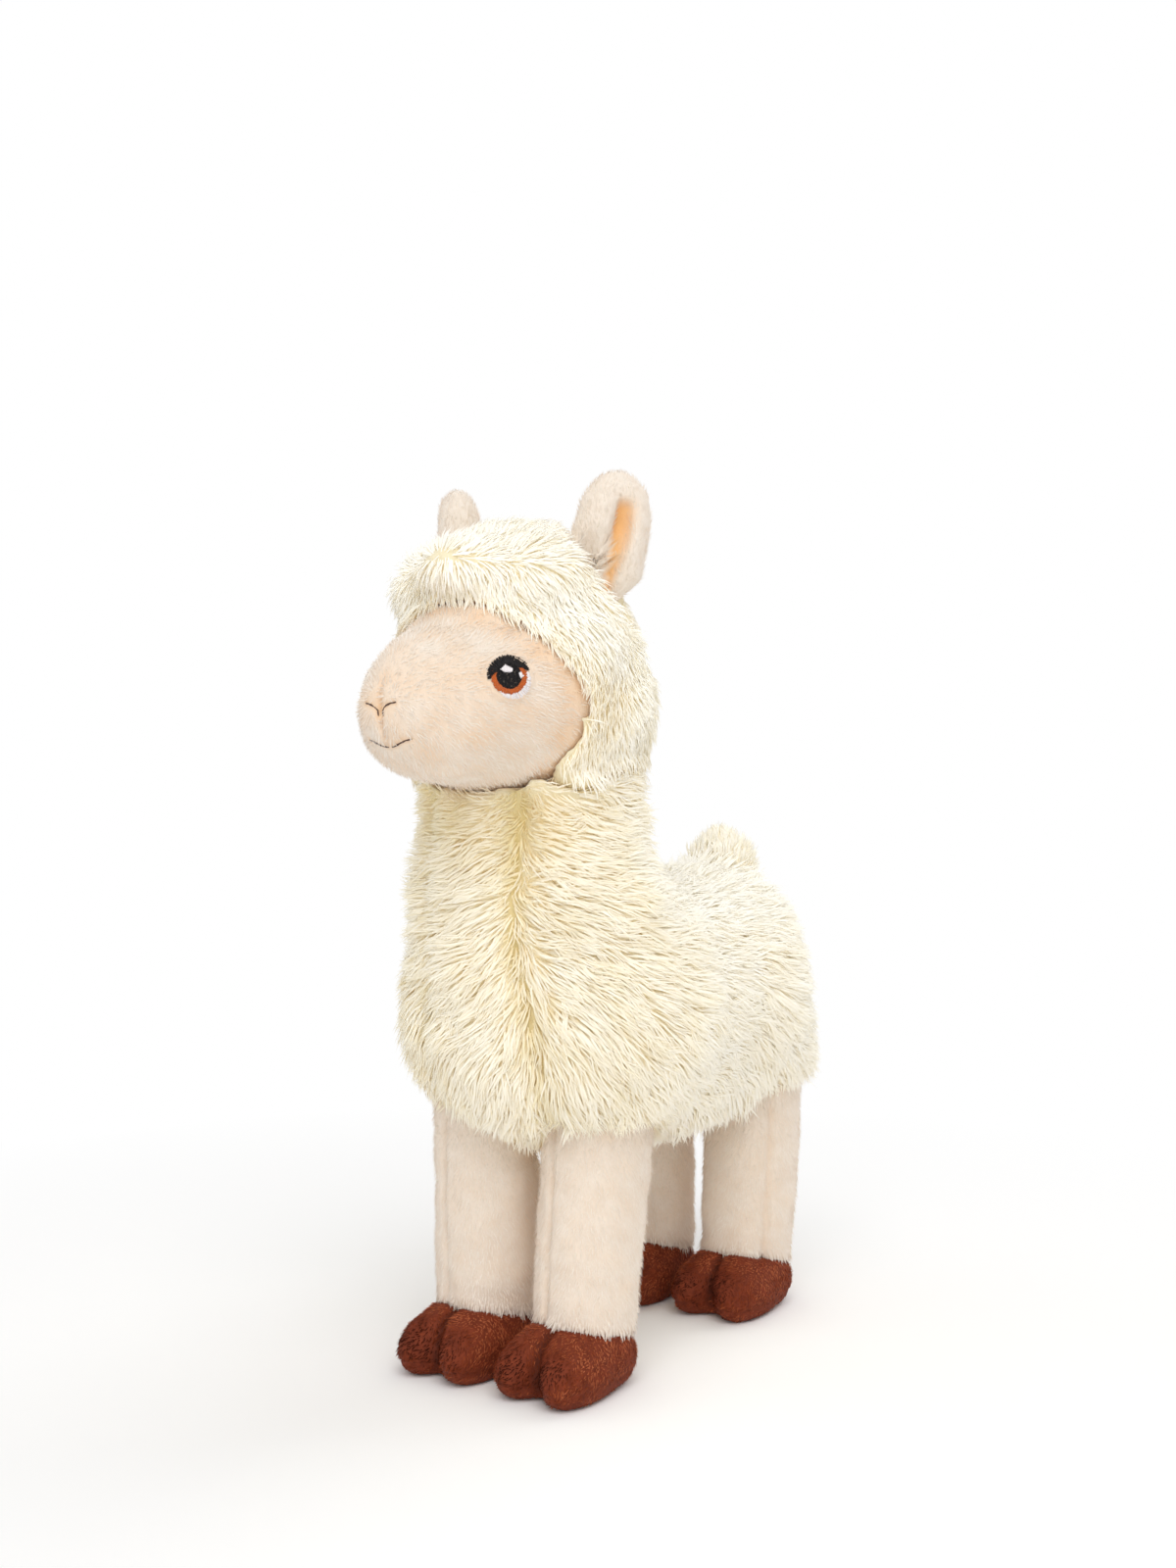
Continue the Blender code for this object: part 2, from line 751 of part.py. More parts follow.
def make_stitch(face, stations):
    """A thread laid on the muzzle through (angle from the front, height) stations."""
    tree = BVHTree.FromPolygons(
        [v.co for v in face.data.vertices], [p.vertices[:] for p in face.data.polygons]
    )
    path = []
    steps = 7
    for i in range(steps + 1):
        at = i / steps * (len(stations) - 1)
        low = min(int(at), len(stations) - 2)
        share = at - low
        angle = stations[low][0] * (1 - share) + stations[low + 1][0] * share
        height = stations[low][1] * (1 - share) + stations[low + 1][1] * share
        out = Vector((math.sin(angle), -math.cos(angle), 0.0))
        start = Vector((0, MUZZLE_Y + 0.004, height)) + out * 0.06
        hit, normal, _, _ = tree.ray_cast(start, -out)
        path.append((hit + normal * (THREAD_RADIUS + GAP * 1.5), normal))
    rings = []
    for i, (point, normal) in enumerate(path):
        ahead = path[min(i + 1, steps)][0] - path[max(i - 1, 0)][0]
        along = ahead.normalized()
        across = along.cross(normal).normalized()
        up = across.cross(along).normalized()
        taper = 0.62 if i in (0, steps) else 1.0
        rings.append(
            [
                point
                + across * (THREAD_RADIUS * taper * math.cos(2 * math.pi * k / 6))
                + up * (THREAD_RADIUS * taper * math.sin(2 * math.pi * k / 6))
                for k in range(6)
            ]
        )
    return ring_loft("stitch", rings)


def build():
    """Makes every piece of the llama and leaves only finished nodes in the scene."""
    body = make_body()
    face = make_face()
    hood = make_hood()
    face_seat = swollen(face, GAP)
    hood_seat = swollen(hood, GAP)
    body_seat = swollen(body, GAP)
    combined(hood, face_seat, "DIFFERENCE")
    combined(body, face_seat, "DIFFERENCE")
    combined(body, hood_seat, "DIFFERENCE")
    discard(face_seat)

    for side, word in ((1, "left"), (-1, "right")):
        ear = make_ear(side)
        combined(ear, hood_seat, "DIFFERENCE")
        finish(largest(ear), "ear_" + word, "short_pile")
    for word, (side, foot_y, shift, thick, seam_angle) in LEGS.items():
        leg = make_leg(side, foot_y, shift, thick, seam_angle)
        combined(leg, body_seat, "DIFFERENCE")
        finish(largest(leg), "leg_" + word, "short_pile")
        foot, sole = make_foot(side, foot_y)
        finish(foot, "hoof_" + word, "hoof_plush")
        finish(sole, "sole_" + word, "sole_plush")

    tail = make_tail()
    combined(tail, body_seat, "DIFFERENCE")
    finish(largest(tail), "tail", "fleece")
    discard(body_seat, hood_seat)

    kinds = {
        "eye_black": "thread_black",
        "eye_iris": "thread_iris",
        "eye_white": "thread_white",
        "eye_glint_large": "thread_white",
        "eye_glint_small": "thread_white",
    }
    for kind, solid in make_eye_parts(face).items():
        twin = mirror(linked(kind, solid.data.copy()))
        finish(largest(solid), kind + "_left", kinds[kind])
        finish(largest(twin), kind + "_right", kinds[kind])
    lines = {
        "nostril": (
            (0.09, FACE_Z - 0.0069),
            (0.08, FACE_Z - 0.0055),
            (0.15, FACE_Z - 0.0043),
            (0.34, FACE_Z - 0.0031),
        ),
        "mouth": ((0.14, FACE_Z - 0.0145), (0.34, FACE_Z - 0.0132), (0.58, FACE_Z - 0.0120)),
    }
    for kind, stations in lines.items():
        stitch = make_stitch(face, stations)
        twin = mirror(linked(kind, stitch.data.copy()))
        finish(stitch, kind + "_left", "thread_dark")
        finish(twin, kind + "_right", "thread_dark")

    finish(body, "body", "fleece")
    finish(face, "face", "short_pile")
    finish(hood, "hood", "fleece")
    centre_on_footprint()


def centre_on_footprint():
    """Moves every piece so that the origin lies under the middle of the whole llama."""
    pieces = [obj for obj in bpy.data.objects if obj.type == "MESH"]
    points = [vert.co for obj in pieces for vert in obj.data.vertices]
    shift = Vector(
        (
            -(max(p.x for p in points) + min(p.x for p in points)) / 2,
            -(max(p.y for p in points) + min(p.y for p in points)) / 2,
            -min(p.z for p in points),
        )
    )
    for obj in pieces:
        obj.data.transform(Matrix.Translation(shift))


for leftover in list(bpy.data.objects):
    bpy.data.objects.remove(leftover, do_unlink=True)
build()
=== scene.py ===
"""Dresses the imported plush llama: long fleece, short pile, velour hooves and embroidery.

Every stuffed section starts from a welded copy of its CAD solid, is remeshed into a skin and
carries its pile as real tufts. Face, legs and hooves swell in a short cloth simulation first.
The llama faces -Y, its own left is +X, and lengths are in metres.
"""

import logging
import math
from collections.abc import Callable, Sequence
from dataclasses import dataclass, field, replace
from enum import Enum

import bmesh
import bpy
import numpy as np
from mathutils import Matrix, Vector
from mathutils.bvhtree import BVHTree
from mathutils.kdtree import KDTree


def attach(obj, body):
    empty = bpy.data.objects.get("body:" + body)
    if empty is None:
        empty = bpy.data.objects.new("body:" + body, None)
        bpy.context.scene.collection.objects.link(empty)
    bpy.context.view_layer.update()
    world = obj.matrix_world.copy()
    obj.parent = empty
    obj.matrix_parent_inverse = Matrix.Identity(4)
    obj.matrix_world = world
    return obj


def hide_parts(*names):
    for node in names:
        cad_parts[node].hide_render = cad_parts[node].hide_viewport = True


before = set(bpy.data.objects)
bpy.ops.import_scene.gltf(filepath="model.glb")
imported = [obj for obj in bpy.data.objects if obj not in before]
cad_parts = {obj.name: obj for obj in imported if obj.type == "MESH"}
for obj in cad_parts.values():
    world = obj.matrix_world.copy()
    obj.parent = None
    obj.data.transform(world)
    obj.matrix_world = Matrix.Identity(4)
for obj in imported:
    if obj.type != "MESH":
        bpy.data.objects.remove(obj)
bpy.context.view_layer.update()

log = logging.getLogger("plush_llama")
Array = np.ndarray
MM = 0.001
BODY = "root"
BAKE_MAP = "OFBake"
WARMTH_AND_SHADE = "warmth"
SWELL_FRAMES = 20
MOST_BOUNCES = 16
DIFFUSE_BOUNCES = 14
FOOT_X = 0.0184
UP, BACK, LEVEL = np.array([[0.0, 0.0, 1.0], [0.0, 1.0, 0.0], [1.0, 1.0, 0.0]])


class Slot(Enum):
    """Material slot names for the finishes."""

    FLEECE = "fleece"
    SHORT = "short_pile"
    HOOF = "hoof_plush"
    SOLE = "sole_plush"
    DARK = "thread_dark"
    BLACK = "thread_black"
    IRIS = "thread_iris"
    WHITE = "thread_white"


class Side(Enum):
    """The llama's own left and right, as the sign of X."""

    LEFT = 1
    RIGHT = -1

    @property
    def word(self) -> str:
        """The side's name in a node name."""
        return self.name.lower()


class LegPlace(Enum):
    """The four legs: node suffix, side, foot middle Y, rear shift of the top, seam angle."""

    FRONT_LEFT = ("front_left", Side.LEFT, -0.0295, 0.0080, -18.0)
    FRONT_RIGHT = ("front_right", Side.RIGHT, -0.0295, -0.0005, -18.0)
    HIND_LEFT = ("hind_left", Side.LEFT, 0.0690, 0.0075, 52.0)
    HIND_RIGHT = ("hind_right", Side.RIGHT, 0.0655, -0.0015, -52.0)


def smoothstep(low: float, high: float, value: Array) -> Array:
    """A soft step from 0 at low to 1 at high.

    Args:
        low: where the step starts.
        high: where it ends; it may lie below low for a falling step.
        value: the numbers to judge.

    Returns:
        The step's height for each number.
    """
    share = np.clip((value - low) / (high - low), 0.0, 1.0)
    return share * share * (3.0 - 2.0 * share)


def valley(distance: Array, width: float) -> Array:
    """The depth of a seam at a distance from it, from 0 to 1."""
    return np.exp(-((distance / width) ** 2))


def unit(vectors: Array) -> Array:
    """Rows scaled to length one."""
    return vectors / np.maximum(np.linalg.norm(vectors, axis=-1, keepdims=True), 1e-12)


class Ripple:
    """Smooth seeded noise from about -1 to 1, made of crossing waves."""

    def __init__(self, size: float, seed: int) -> None:
        """Draws the waves.

        Args:
            size: the usual distance between two crests, in metres.
            seed: the seed of the draw.
        """
        rng = np.random.default_rng(seed)
        spread = unit(rng.normal(size=(12, 3))) * rng.uniform(0.6, 1.5, (12, 1))
        self.waves = spread * (2.0 * math.pi / size)
        self.phase = rng.uniform(0.0, 2.0 * math.pi, 12)

    def __call__(self, points: Array) -> Array:
        """The noise at each point."""
        return np.sin(points @ self.waves.T + self.phase).sum(axis=1) / 3.4


# Shader building


class Signal:
    """A socket whose arithmetic adds Math nodes."""

    def __init__(self, shader: "Shader", socket: bpy.types.NodeSocket) -> None:
        """Wraps an output socket of a material's nodes."""
        self.shader = shader
        self.socket = socket

    def _math(self, operation: str, *values: "Signal | float") -> "Signal":
        """Adds one Math node.

        Args:
            operation: Blender's name of the operation.
            values: its inputs in order.

        Returns:
            The result.
        """
        node = self.shader.node("ShaderNodeMath", {"operation": operation}, dict(enumerate(values)))
        return Signal(self.shader, node.outputs[0])

    def __add__(self, other: "Signal | float") -> "Signal":
        """Sum."""
        return self._math("ADD", self, other)

    def __radd__(self, other: float) -> "Signal":
        """Sum, reflected."""
        return self._math("ADD", other, self)

    def __mul__(self, other: "Signal | float") -> "Signal":
        """Product."""
        return self._math("MULTIPLY", self, other)

    def __rmul__(self, other: float) -> "Signal":
        """Product, reflected."""
        return self._math("MULTIPLY", other, self)

    def within(self, low: float, high: float) -> "Signal":
        """A linear rise from 0 at low to 1 at high, held at both ends."""
        node = self.shader.node(
            "ShaderNodeMapRange", {"clamp": True}, {"Value": self, "From Min": low, "From Max": high}
        )
        return Signal(self.shader, node.outputs["Result"])


def linear(red: int, green: int, blue: int) -> tuple[float, float, float, float]:
    """A display colour as a linear one.

    Args:
        red: the red channel, from 0 to 255.
        green: the green channel.
        blue: the blue channel.

    Returns:
        The linear colour with its alpha.
    """
    shares = [channel / 255.0 for channel in (red, green, blue)]
    made = [s / 12.92 if s <= 0.04045 else ((s + 0.055) / 1.055) ** 2.4 for s in shares]
    return (made[0], made[1], made[2], 1.0)


def shades(*colors: tuple[int, int, int]) -> tuple:
    """A colour ramp's stops, evenly spread, from display colours."""
    return tuple((index / (len(colors) - 1), linear(*color)) for index, color in enumerate(colors))


class Shader:
    """The nodes of one material or world, with one method that adds any node."""

    def __init__(self, owner: bpy.types.Material | bpy.types.World) -> None:
        """Starts an empty node tree."""
        owner.use_nodes = True
        self.owner = owner
        self.nodes = owner.node_tree.nodes
        self.links = owner.node_tree.links
        self.nodes.clear()

    def node(self, kind: str, settings: dict, values: dict) -> bpy.types.Node:
        """Adds a node.

        Args:
            kind: the node's Blender type.
            settings: its properties, set first; stops is a colour ramp's list of
                (place, colour).
            values: what goes into its sockets, by name or number: a Signal, a socket
                or a plain value.

        Returns:
            The node.
        """
        made = self.nodes.new(kind)
        for key, value in settings.items():
            if key == "stops":
                self._fill_ramp(made.color_ramp, value)
            else:
                setattr(made, key, value)
        for key, value in values.items():
            target = made.inputs[key]
            if isinstance(value, Signal):
                self.links.new(value.socket, target)
            elif isinstance(value, bpy.types.NodeSocket):
                self.links.new(value, target)
            else:
                target.default_value = value
        return made

    @staticmethod
    def _fill_ramp(ramp: bpy.types.ColorRamp, stops: Sequence) -> None:
        """Writes a colour ramp's stops."""
        while len(ramp.elements) < len(stops):
            ramp.elements.new(0.5)
        for element, (place, color) in zip(ramp.elements, stops):
            element.position = place
            element.color = color

    def noise(self, scale: float, detail: float = 2.0, stretch: Sequence[float] = (1, 1, 1)) -> Signal:
        """Noise on the object's own coordinates.

        Args:
            scale: lumps per metre.
            detail: how many finer layers it holds.
            stretch: how the coordinates are scaled first.

        Returns:
            The noise, from 0 to 1.
        """
        place = self.node("ShaderNodeTexCoord", {}, {}).outputs["Object"]
        sized = self.node("ShaderNodeMapping", {}, {"Vector": place, "Scale": tuple(stretch)})
        made = self.node(
            "ShaderNodeTexNoise",
            {},
            {"Vector": sized.outputs["Vector"], "Scale": scale, "Detail": detail, "Roughness": 0.6},
        )
        return Signal(self, made.outputs["Fac"])

    def ramp(self, factor: Signal, stops: Sequence) -> bpy.types.NodeSocket:
        """A colour ramp's colour for a factor."""
        made = self.node("ShaderNodeValToRGB", {"stops": stops}, {"Fac": factor})
        return made.outputs["Color"]

    def mix(self, factor: Signal, low: object, high: object) -> bpy.types.NodeSocket:
        """Two colours mixed.

        Args:
            factor: the share of high.
            low: the first colour.
            high: the second colour.

        Returns:
            The mixed colour.
        """
        made = self.node("ShaderNodeMix", {"data_type": "RGBA"}, {0: factor, 6: low, 7: high})
        return made.outputs[2]

    def bump(self, height: Signal, distance: float, strength: float) -> bpy.types.NodeSocket:
        """A bumped normal."""
        made = self.node(
            "ShaderNodeBump", {}, {"Height": height, "Distance": distance, "Strength": strength}
        )
        return made.outputs["Normal"]

    def surface(self, **values: object) -> bpy.types.Material:
        """Ends the material in a Principled shader.

        Args:
            values: its sockets, with an underscore for each space in a name.

        Returns:
            The finished material.
        """
        shader = self.node(
            "ShaderNodeBsdfPrincipled", {}, {k.replace("_", " "): v for k, v in values.items()}
        )
        self.node("ShaderNodeOutputMaterial", {}, {"Surface": shader.outputs["BSDF"]})
        return self.owner


# Finishes


@dataclass(frozen=True)
class TuftFinish:
    """Pile tufts: colour by a value across the bake map, partly painted shade, and from root to tip along
    it.
    """

    name: str
    slot: Slot
    roots: tuple
    tips: tuple
    sheen: float = 0.25
    roughness: float = 0.8
    root_reach: float = 0.75
    specular: float = 0.2

    def build(self) -> bpy.types.Material:
        """Makes the material.

        Returns:
            The material.
        """
        shader = Shader(bpy.data.materials.new(self.name))
        place = shader.node("ShaderNodeUVMap", {"uv_map": BAKE_MAP}, {}).outputs["UV"]
        parts = shader.node("ShaderNodeSeparateXYZ", {}, {"Vector": place})
        tone = Signal(shader, parts.outputs["X"])
        rise = Signal(shader, parts.outputs["Y"])
        color = shader.mix(
            rise.within(0.0, self.root_reach), shader.ramp(tone, self.roots), shader.ramp(tone, self.tips)
        )
        return shader.surface(
            Base_Color=color,
            Roughness=self.roughness,
            Sheen_Weight=self.sheen,
            Sheen_Roughness=0.45,
            Specular_IOR_Level=self.specular,
        )


@dataclass(frozen=True)
class BackingFinish:
    """The woven backing under a pile, mottled by the lay of the fibres and mixed toward a second colour that
    is mostly painted shade in seams, folds and creases.
    """

    name: str
    slot: Slot
    pale: tuple
    deep: tuple
    warm: tuple
    mottle: float = 260.0
    fibre: float = 2600.0
    depth: float = 0.00025
    sheen: float = 0.3
    roughness: float = 0.85

    def build(self) -> bpy.types.Material:
        """Makes the material.

        Returns:
            The material.
        """
        shader = Shader(bpy.data.materials.new(self.name))
        broad = shader.noise(self.mottle, 3.0)
        fine = shader.noise(self.fibre, 2.0, (1.0, 1.0, 0.45))
        mixed = (broad * 0.6 + fine * 0.4).within(0.32, 0.68)
        warmth = shader.node("ShaderNodeAttribute", {"attribute_name": WARMTH_AND_SHADE}, {})
        color = shader.mix(mixed, self.deep, self.pale)
        # Painted shade: the point attribute mixes in the warm colour in seams, folds and creases.
        color = shader.mix(Signal(shader, warmth.outputs["Fac"]), color, self.warm)
        return shader.surface(
            Base_Color=color,
            Roughness=self.roughness,
            Sheen_Weight=self.sheen,
            Sheen_Roughness=0.5,
            Specular_IOR_Level=0.2,
            Normal=shader.bump(fine, self.depth, 0.8),
        )


@dataclass(frozen=True)
class ThreadFinish:
    """Embroidery thread with a soft gloss and a fine twist."""

    name: str
    slot: Slot
    pale: tuple
    deep: tuple
    roughness: float = 0.42
    sheen: float = 0.1
    specular: float = 0.45

    def build(self) -> bpy.types.Material:
        """Makes the material.

        Returns:
            The material.
        """
        shader = Shader(bpy.data.materials.new(self.name))
        twist = shader.noise(5200.0, 2.0)
        color = shader.mix(twist.within(0.35, 0.65), self.deep, self.pale)
        return shader.surface(
            Base_Color=color,
            Roughness=self.roughness,
            Specular_IOR_Level=self.specular,
            Sheen_Weight=self.sheen,
            Normal=shader.bump(twist, 0.00006, 0.7),
        )


Finish = TuftFinish | BackingFinish | ThreadFinish

# Fleece: the deep third stops and the backing's warm colour are the painted olive shade of seams, the chin,
# the forward chest and hollows.
FLEECE_TUFTS = TuftFinish(
    "fleece pile",
    Slot.FLEECE,
    roots=shades((253, 250, 241), (251, 242, 214), (232, 212, 150)),
    tips=shades((254, 252, 245), (250, 244, 226), (238, 226, 182)),
    root_reach=0.5,
)
FLEECE_BACKING = BackingFinish(
    "fleece backing",
    Slot.FLEECE,
    pale=linear(246, 238, 212),
    deep=linear(236, 222, 184),
    warm=linear(216, 196, 136),
)
# Short pile: the deep third stops and the backing's warm colour are painted warm shade in the ear folds, the
# brim crease, seams and stitched lines.
SHORT_TUFTS = TuftFinish(
    "short pile",
    Slot.SHORT,
    roots=shades((238, 227, 213), (226, 211, 192), (232, 178, 116)),
    tips=shades((243, 236, 228), (231, 219, 206), (244, 204, 150)),
    sheen=0.3,
)
SHORT_BACKING = BackingFinish(
    "short pile backing",
    Slot.SHORT,
    pale=linear(238, 228, 216),
    deep=linear(229, 215, 199),
    warm=linear(234, 182, 120),
)
# Hoof: the deep third stops and the backing's warm colour are painted shade at the toe fronts, in the cleft
# and in the sole seam.
HOOF_TUFTS = TuftFinish(
    "hoof velour",
    Slot.HOOF,
    roots=shades((184, 96, 59), (110, 45, 20), (44, 13, 5)),
    tips=shades((208, 124, 84), (142, 64, 33), (56, 18, 8)),
    sheen=0.0,
    roughness=0.75,
    specular=0.08,
)
HOOF_BACKING = BackingFinish(
    "hoof velour backing",
    Slot.HOOF,
    pale=linear(134, 58, 31),
    deep=linear(94, 36, 17),
    warm=linear(44, 13, 6),
    mottle=420.0,
    sheen=0.0,
    roughness=0.7,
)
THREAD_DARK = ThreadFinish("dark thread", Slot.DARK, pale=linear(92, 62, 50), deep=linear(54, 32, 26))
THREAD_BLACK = ThreadFinish(
    "black thread",
    Slot.BLACK,
    pale=linear(22, 17, 20),
    deep=linear(8, 6, 8),
    roughness=0.5,
    sheen=0.02,
    specular=0.25,
)
THREAD_IRIS = ThreadFinish("iris thread", Slot.IRIS, pale=linear(206, 100, 14), deep=linear(160, 66, 4))
THREAD_WHITE = ThreadFinish(
    "white thread", Slot.WHITE, pale=linear(248, 244, 244), deep=linear(222, 214, 216)
)


class Cupboard:
    """Builds each finish once and hands it out."""

    def __init__(self) -> None:
        """Starts empty."""
        self.made: dict[str, bpy.types.Material] = {}

    def take(self, finish: Finish) -> bpy.types.Material:
        """The material of a finish."""
        if finish.name not in self.made:
            self.made[finish.name] = finish.build()
        return self.made[finish.name]


CUPBOARD = Cupboard()


# Meshes and fabric skins


def poured(bm: bmesh.types.BMesh, name: str) -> bpy.types.Mesh:
    """Moves what a bmesh holds into a new mesh and frees the bmesh.

    Args:
        bm: the bmesh.
        name: the mesh's name.

    Returns:
        The mesh.
    """
    mesh = bpy.data.meshes.new(name)
    bm.to_mesh(mesh)
    bm.free()
    return mesh


def linked(name: str, data: bpy.types.ID) -> bpy.types.Object:
    """Puts a mesh, a lamp or a camera in the scene.

    Args:
        name: the object's name.
        data: what it shows.

    Returns:
        The object, at the origin.
    """
    made = bpy.data.objects.new(name, data)
    bpy.context.scene.collection.objects.link(made)
    return made


def placed(name: str, mesh: bpy.types.Mesh, finish: Finish, nodes: Sequence[str] = ()) -> bpy.types.Object:
    """Makes a mesh a visible piece that rides on the llama's body.

    Args:
        name: the piece's name.
        mesh: its mesh.
        finish: its finish, whose material the mesh gets.
        nodes: the CAD nodes that it replaces, if any.

    Returns:
        The piece.
    """
    mesh.materials.clear()
    mesh.materials.append(CUPBOARD.take(finish))
    piece = linked(name, mesh)
    piece.name = name
    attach(piece, BODY)
    if nodes:
        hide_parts(*nodes)
    return piece


def settled(obj: bpy.types.Object) -> bpy.types.Mesh:
    """Applies an object's modifiers and removes the object.

    Args:
        obj: the object.

    Returns:
        Its mesh as the modifiers leave it.
    """
    graph = bpy.context.evaluated_depsgraph_get()
    graph.update()
    mesh = bpy.data.meshes.new_from_object(obj.evaluated_get(graph))
    bpy.data.objects.remove(obj, do_unlink=True)
    return mesh


def welded(nodes: Sequence[str]) -> bpy.types.Mesh:
    """Merges copies of some CAD nodes' shapes.

    Args:
        nodes: the nodes.

    Returns:
        One mesh with its doubles welded.
    """
    bm = bmesh.new()
    for name in nodes:
        bm.from_mesh(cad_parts[name].data)
    bmesh.ops.remove_doubles(bm, verts=bm.verts, dist=1e-5)
    return poured(bm, "welded")


def nearest(points: Array, nodes: Sequence[str]) -> tuple[Array, Array, Array]:
    """The nearest surface of some CAD nodes to each point.

    Args:
        points: the points.
        nodes: the nodes.

    Returns:
        The nearest places, the outward directions there and the distances.
    """
    mesh = welded(nodes)
    tree = BVHTree.FromPolygons([v.co for v in mesh.vertices], [p.vertices[:] for p in mesh.polygons])
    found = [tree.find_nearest(point) for point in points]
    places, ways = (np.array([hit[k][:] for hit in found]) for k in (0, 1))
    return places, ways, np.array([hit[3] for hit in found])


def sunk(points: Array, nodes: Sequence[str], depth: float, reach: float) -> Array:
    """Points of a skin drawn into the neighbour that it is sewn to.

    Args:
        points: the skin's points.
        nodes: the neighbour's CAD nodes.
        depth: how deep the sewn edge goes, in metres.
        reach: how near the neighbour a point has to be to follow.

    Returns:
        The moved points.
    """
    _, ways, gap = nearest(points, nodes)
    return points - ways * (depth * smoothstep(reach, 0.3 * reach, gap))[:, None]


class Fabric:
    """A stuffed skin cut from the form of some CAD nodes."""

    def __init__(self, name: str, nodes: Sequence[str], voxel: float) -> None:
        """Remeshes the welded form.

        Args:
            name: the piece's name.
            nodes: the CAD nodes that the piece replaces.
            voxel: the size of the skin's faces, in metres.
        """
        self.name = name
        self.nodes = tuple(nodes)
        obj = linked(name, welded(nodes))
        skin = obj.modifiers.new("Skin", "REMESH")
        skin.mode = "VOXEL"
        skin.voxel_size = voxel
        self.mesh = settled(obj)

    @property
    def points(self) -> Array:
        """The skin's points, one row each."""
        made = np.empty(len(self.mesh.vertices) * 3, np.float32)
        self.mesh.vertices.foreach_get("co", made)
        return made.reshape(-1, 3).astype(float)

    @points.setter
    def points(self, rows: Array) -> None:
        """Moves the skin's points."""
        self.mesh.vertices.foreach_set("co", rows.astype(np.float32).ravel())
        self.mesh.update()

    @property
    def normals(self) -> Array:
        """The outward direction at each point."""
        made = np.empty(len(self.mesh.vertices) * 3, np.float32)
        self.mesh.vertex_normals.foreach_get("vector", made)
        return made.reshape(-1, 3).astype(float)

    @property
    def corners(self) -> Array:
        """Each face's corners, a triangle's last one twice."""
        rows = [tuple(p.vertices) for p in self.mesh.polygons]
        return np.array([row if len(row) == 4 else (*row, row[-1]) for row in rows])

    def gap(self, nodes: Sequence[str]) -> Array:
        """How far each point lies from the nearest surface of some CAD nodes."""
        return nearest(self.points, nodes)[2]

    def band(self, nodes: Sequence[str], start: float, end: float) -> Array:
        """A soft step over the distance to some CAD nodes.

        Args:
            nodes: the nodes.
            start: the distance where the step is 0, in millimetres.
            end: the distance where it is 1.

        Returns:
            The step's height at each point.
        """
        return smoothstep(start * MM, end * MM, self.gap(nodes))

    def pressed(self, nodes: Sequence[str], reach: float) -> Array:
        """Which points face a neighbour that they are sewn or pressed to.

        Args:
            nodes: the neighbours' CAD nodes.
            reach: how near a neighbour has to be, in millimetres.

        Returns:
            For each point, 1 where it is pressed on, falling to 0 where it is free.
        """
        points = self.points
        places, _, gap = nearest(points, nodes)
        toward = (unit(places - points) * self.normals).sum(axis=1)
        return smoothstep(reach * MM, reach * MM * 0.5, gap) * smoothstep(-0.1, 0.35, toward)

    def smooth(self, rounds: int) -> None:
        """Relaxes the skin.

        Args:
            rounds: how many times.
        """
        bm = bmesh.new()
        bm.from_mesh(self.mesh)
        axes = {f"use_axis_{axis}": True for axis in "xyz"}
        for _ in range(rounds):
            bmesh.ops.smooth_vert(bm, verts=bm.verts, factor=0.5, **axes)
        bm.to_mesh(self.mesh)
        bm.free()

    def push(self, amount: Array | float, level: bool = False) -> None:
        """Moves each point along its normal.

        Args:
            amount: how far, in metres.
            level: whether the points keep their height.
        """
        shift = np.broadcast_to(np.asarray(amount, float), (len(self.mesh.vertices),))
        way = self.normals * (LEVEL if level else 1.0)
        self.points = self.points + way * shift[:, None]

    def subdivide(self) -> None:
        """Rounds the skin with one subdivision surface."""
        obj = linked(self.name, self.mesh)
        step = obj.modifiers.new("Round", "SUBSURF")
        step.levels = step.render_levels = 1
        self.mesh = settled(obj)

    def swell(self, pressure: float, cap: float, held: Array) -> None:
        """Lets the stuffing press the skin outward in a short cloth simulation.

        Args:
            pressure: the stuffing's pressure.
            cap: how far a point may move, in metres.
            held: for each point, 1 where a seam or a neighbour holds it, else 0.
        """
        before = self.points
        obj = linked(self.name, self.mesh.copy())
        group = obj.vertex_groups.new(name="held")
        for level in (0.25, 0.5, 0.75, 1.0):
            picked = np.nonzero(np.abs(held - level) <= 0.125)[0]
            group.add([int(i) for i in picked], level, "REPLACE")
        cloth = obj.modifiers.new("Stuffing", "CLOTH")
        cloth.point_cache.frame_start = 1
        cloth.point_cache.frame_end = SWELL_FRAMES
        fabric = cloth.settings
        fabric.quality = 6
        fabric.mass = 0.0012
        fabric.tension_stiffness = fabric.compression_stiffness = 12.0
        fabric.shear_stiffness = 8.0
        fabric.bending_stiffness = 0.4
        fabric.use_pressure = True
        fabric.uniform_pressure_force = pressure
        fabric.vertex_group_mass = "held"
        fabric.effector_weights.gravity = 0.0
        cloth.collision_settings.use_collision = False
        for step in range(1, SWELL_FRAMES + 1):
            bpy.context.scene.frame_set(step)
        mesh = settled(obj)
        after = np.empty(before.size, np.float32)
        mesh.vertices.foreach_get("co", after)
        bpy.context.scene.frame_set(1)
        shift = after.reshape(-1, 3).astype(float) - before
        size = np.linalg.norm(shift, axis=1, keepdims=True)
        shift *= np.minimum(1.0, cap / np.maximum(size, 1e-9))
        log.info("%s swells by up to %.2f mm", self.name, size.max() / MM)
        self.points = before + shift

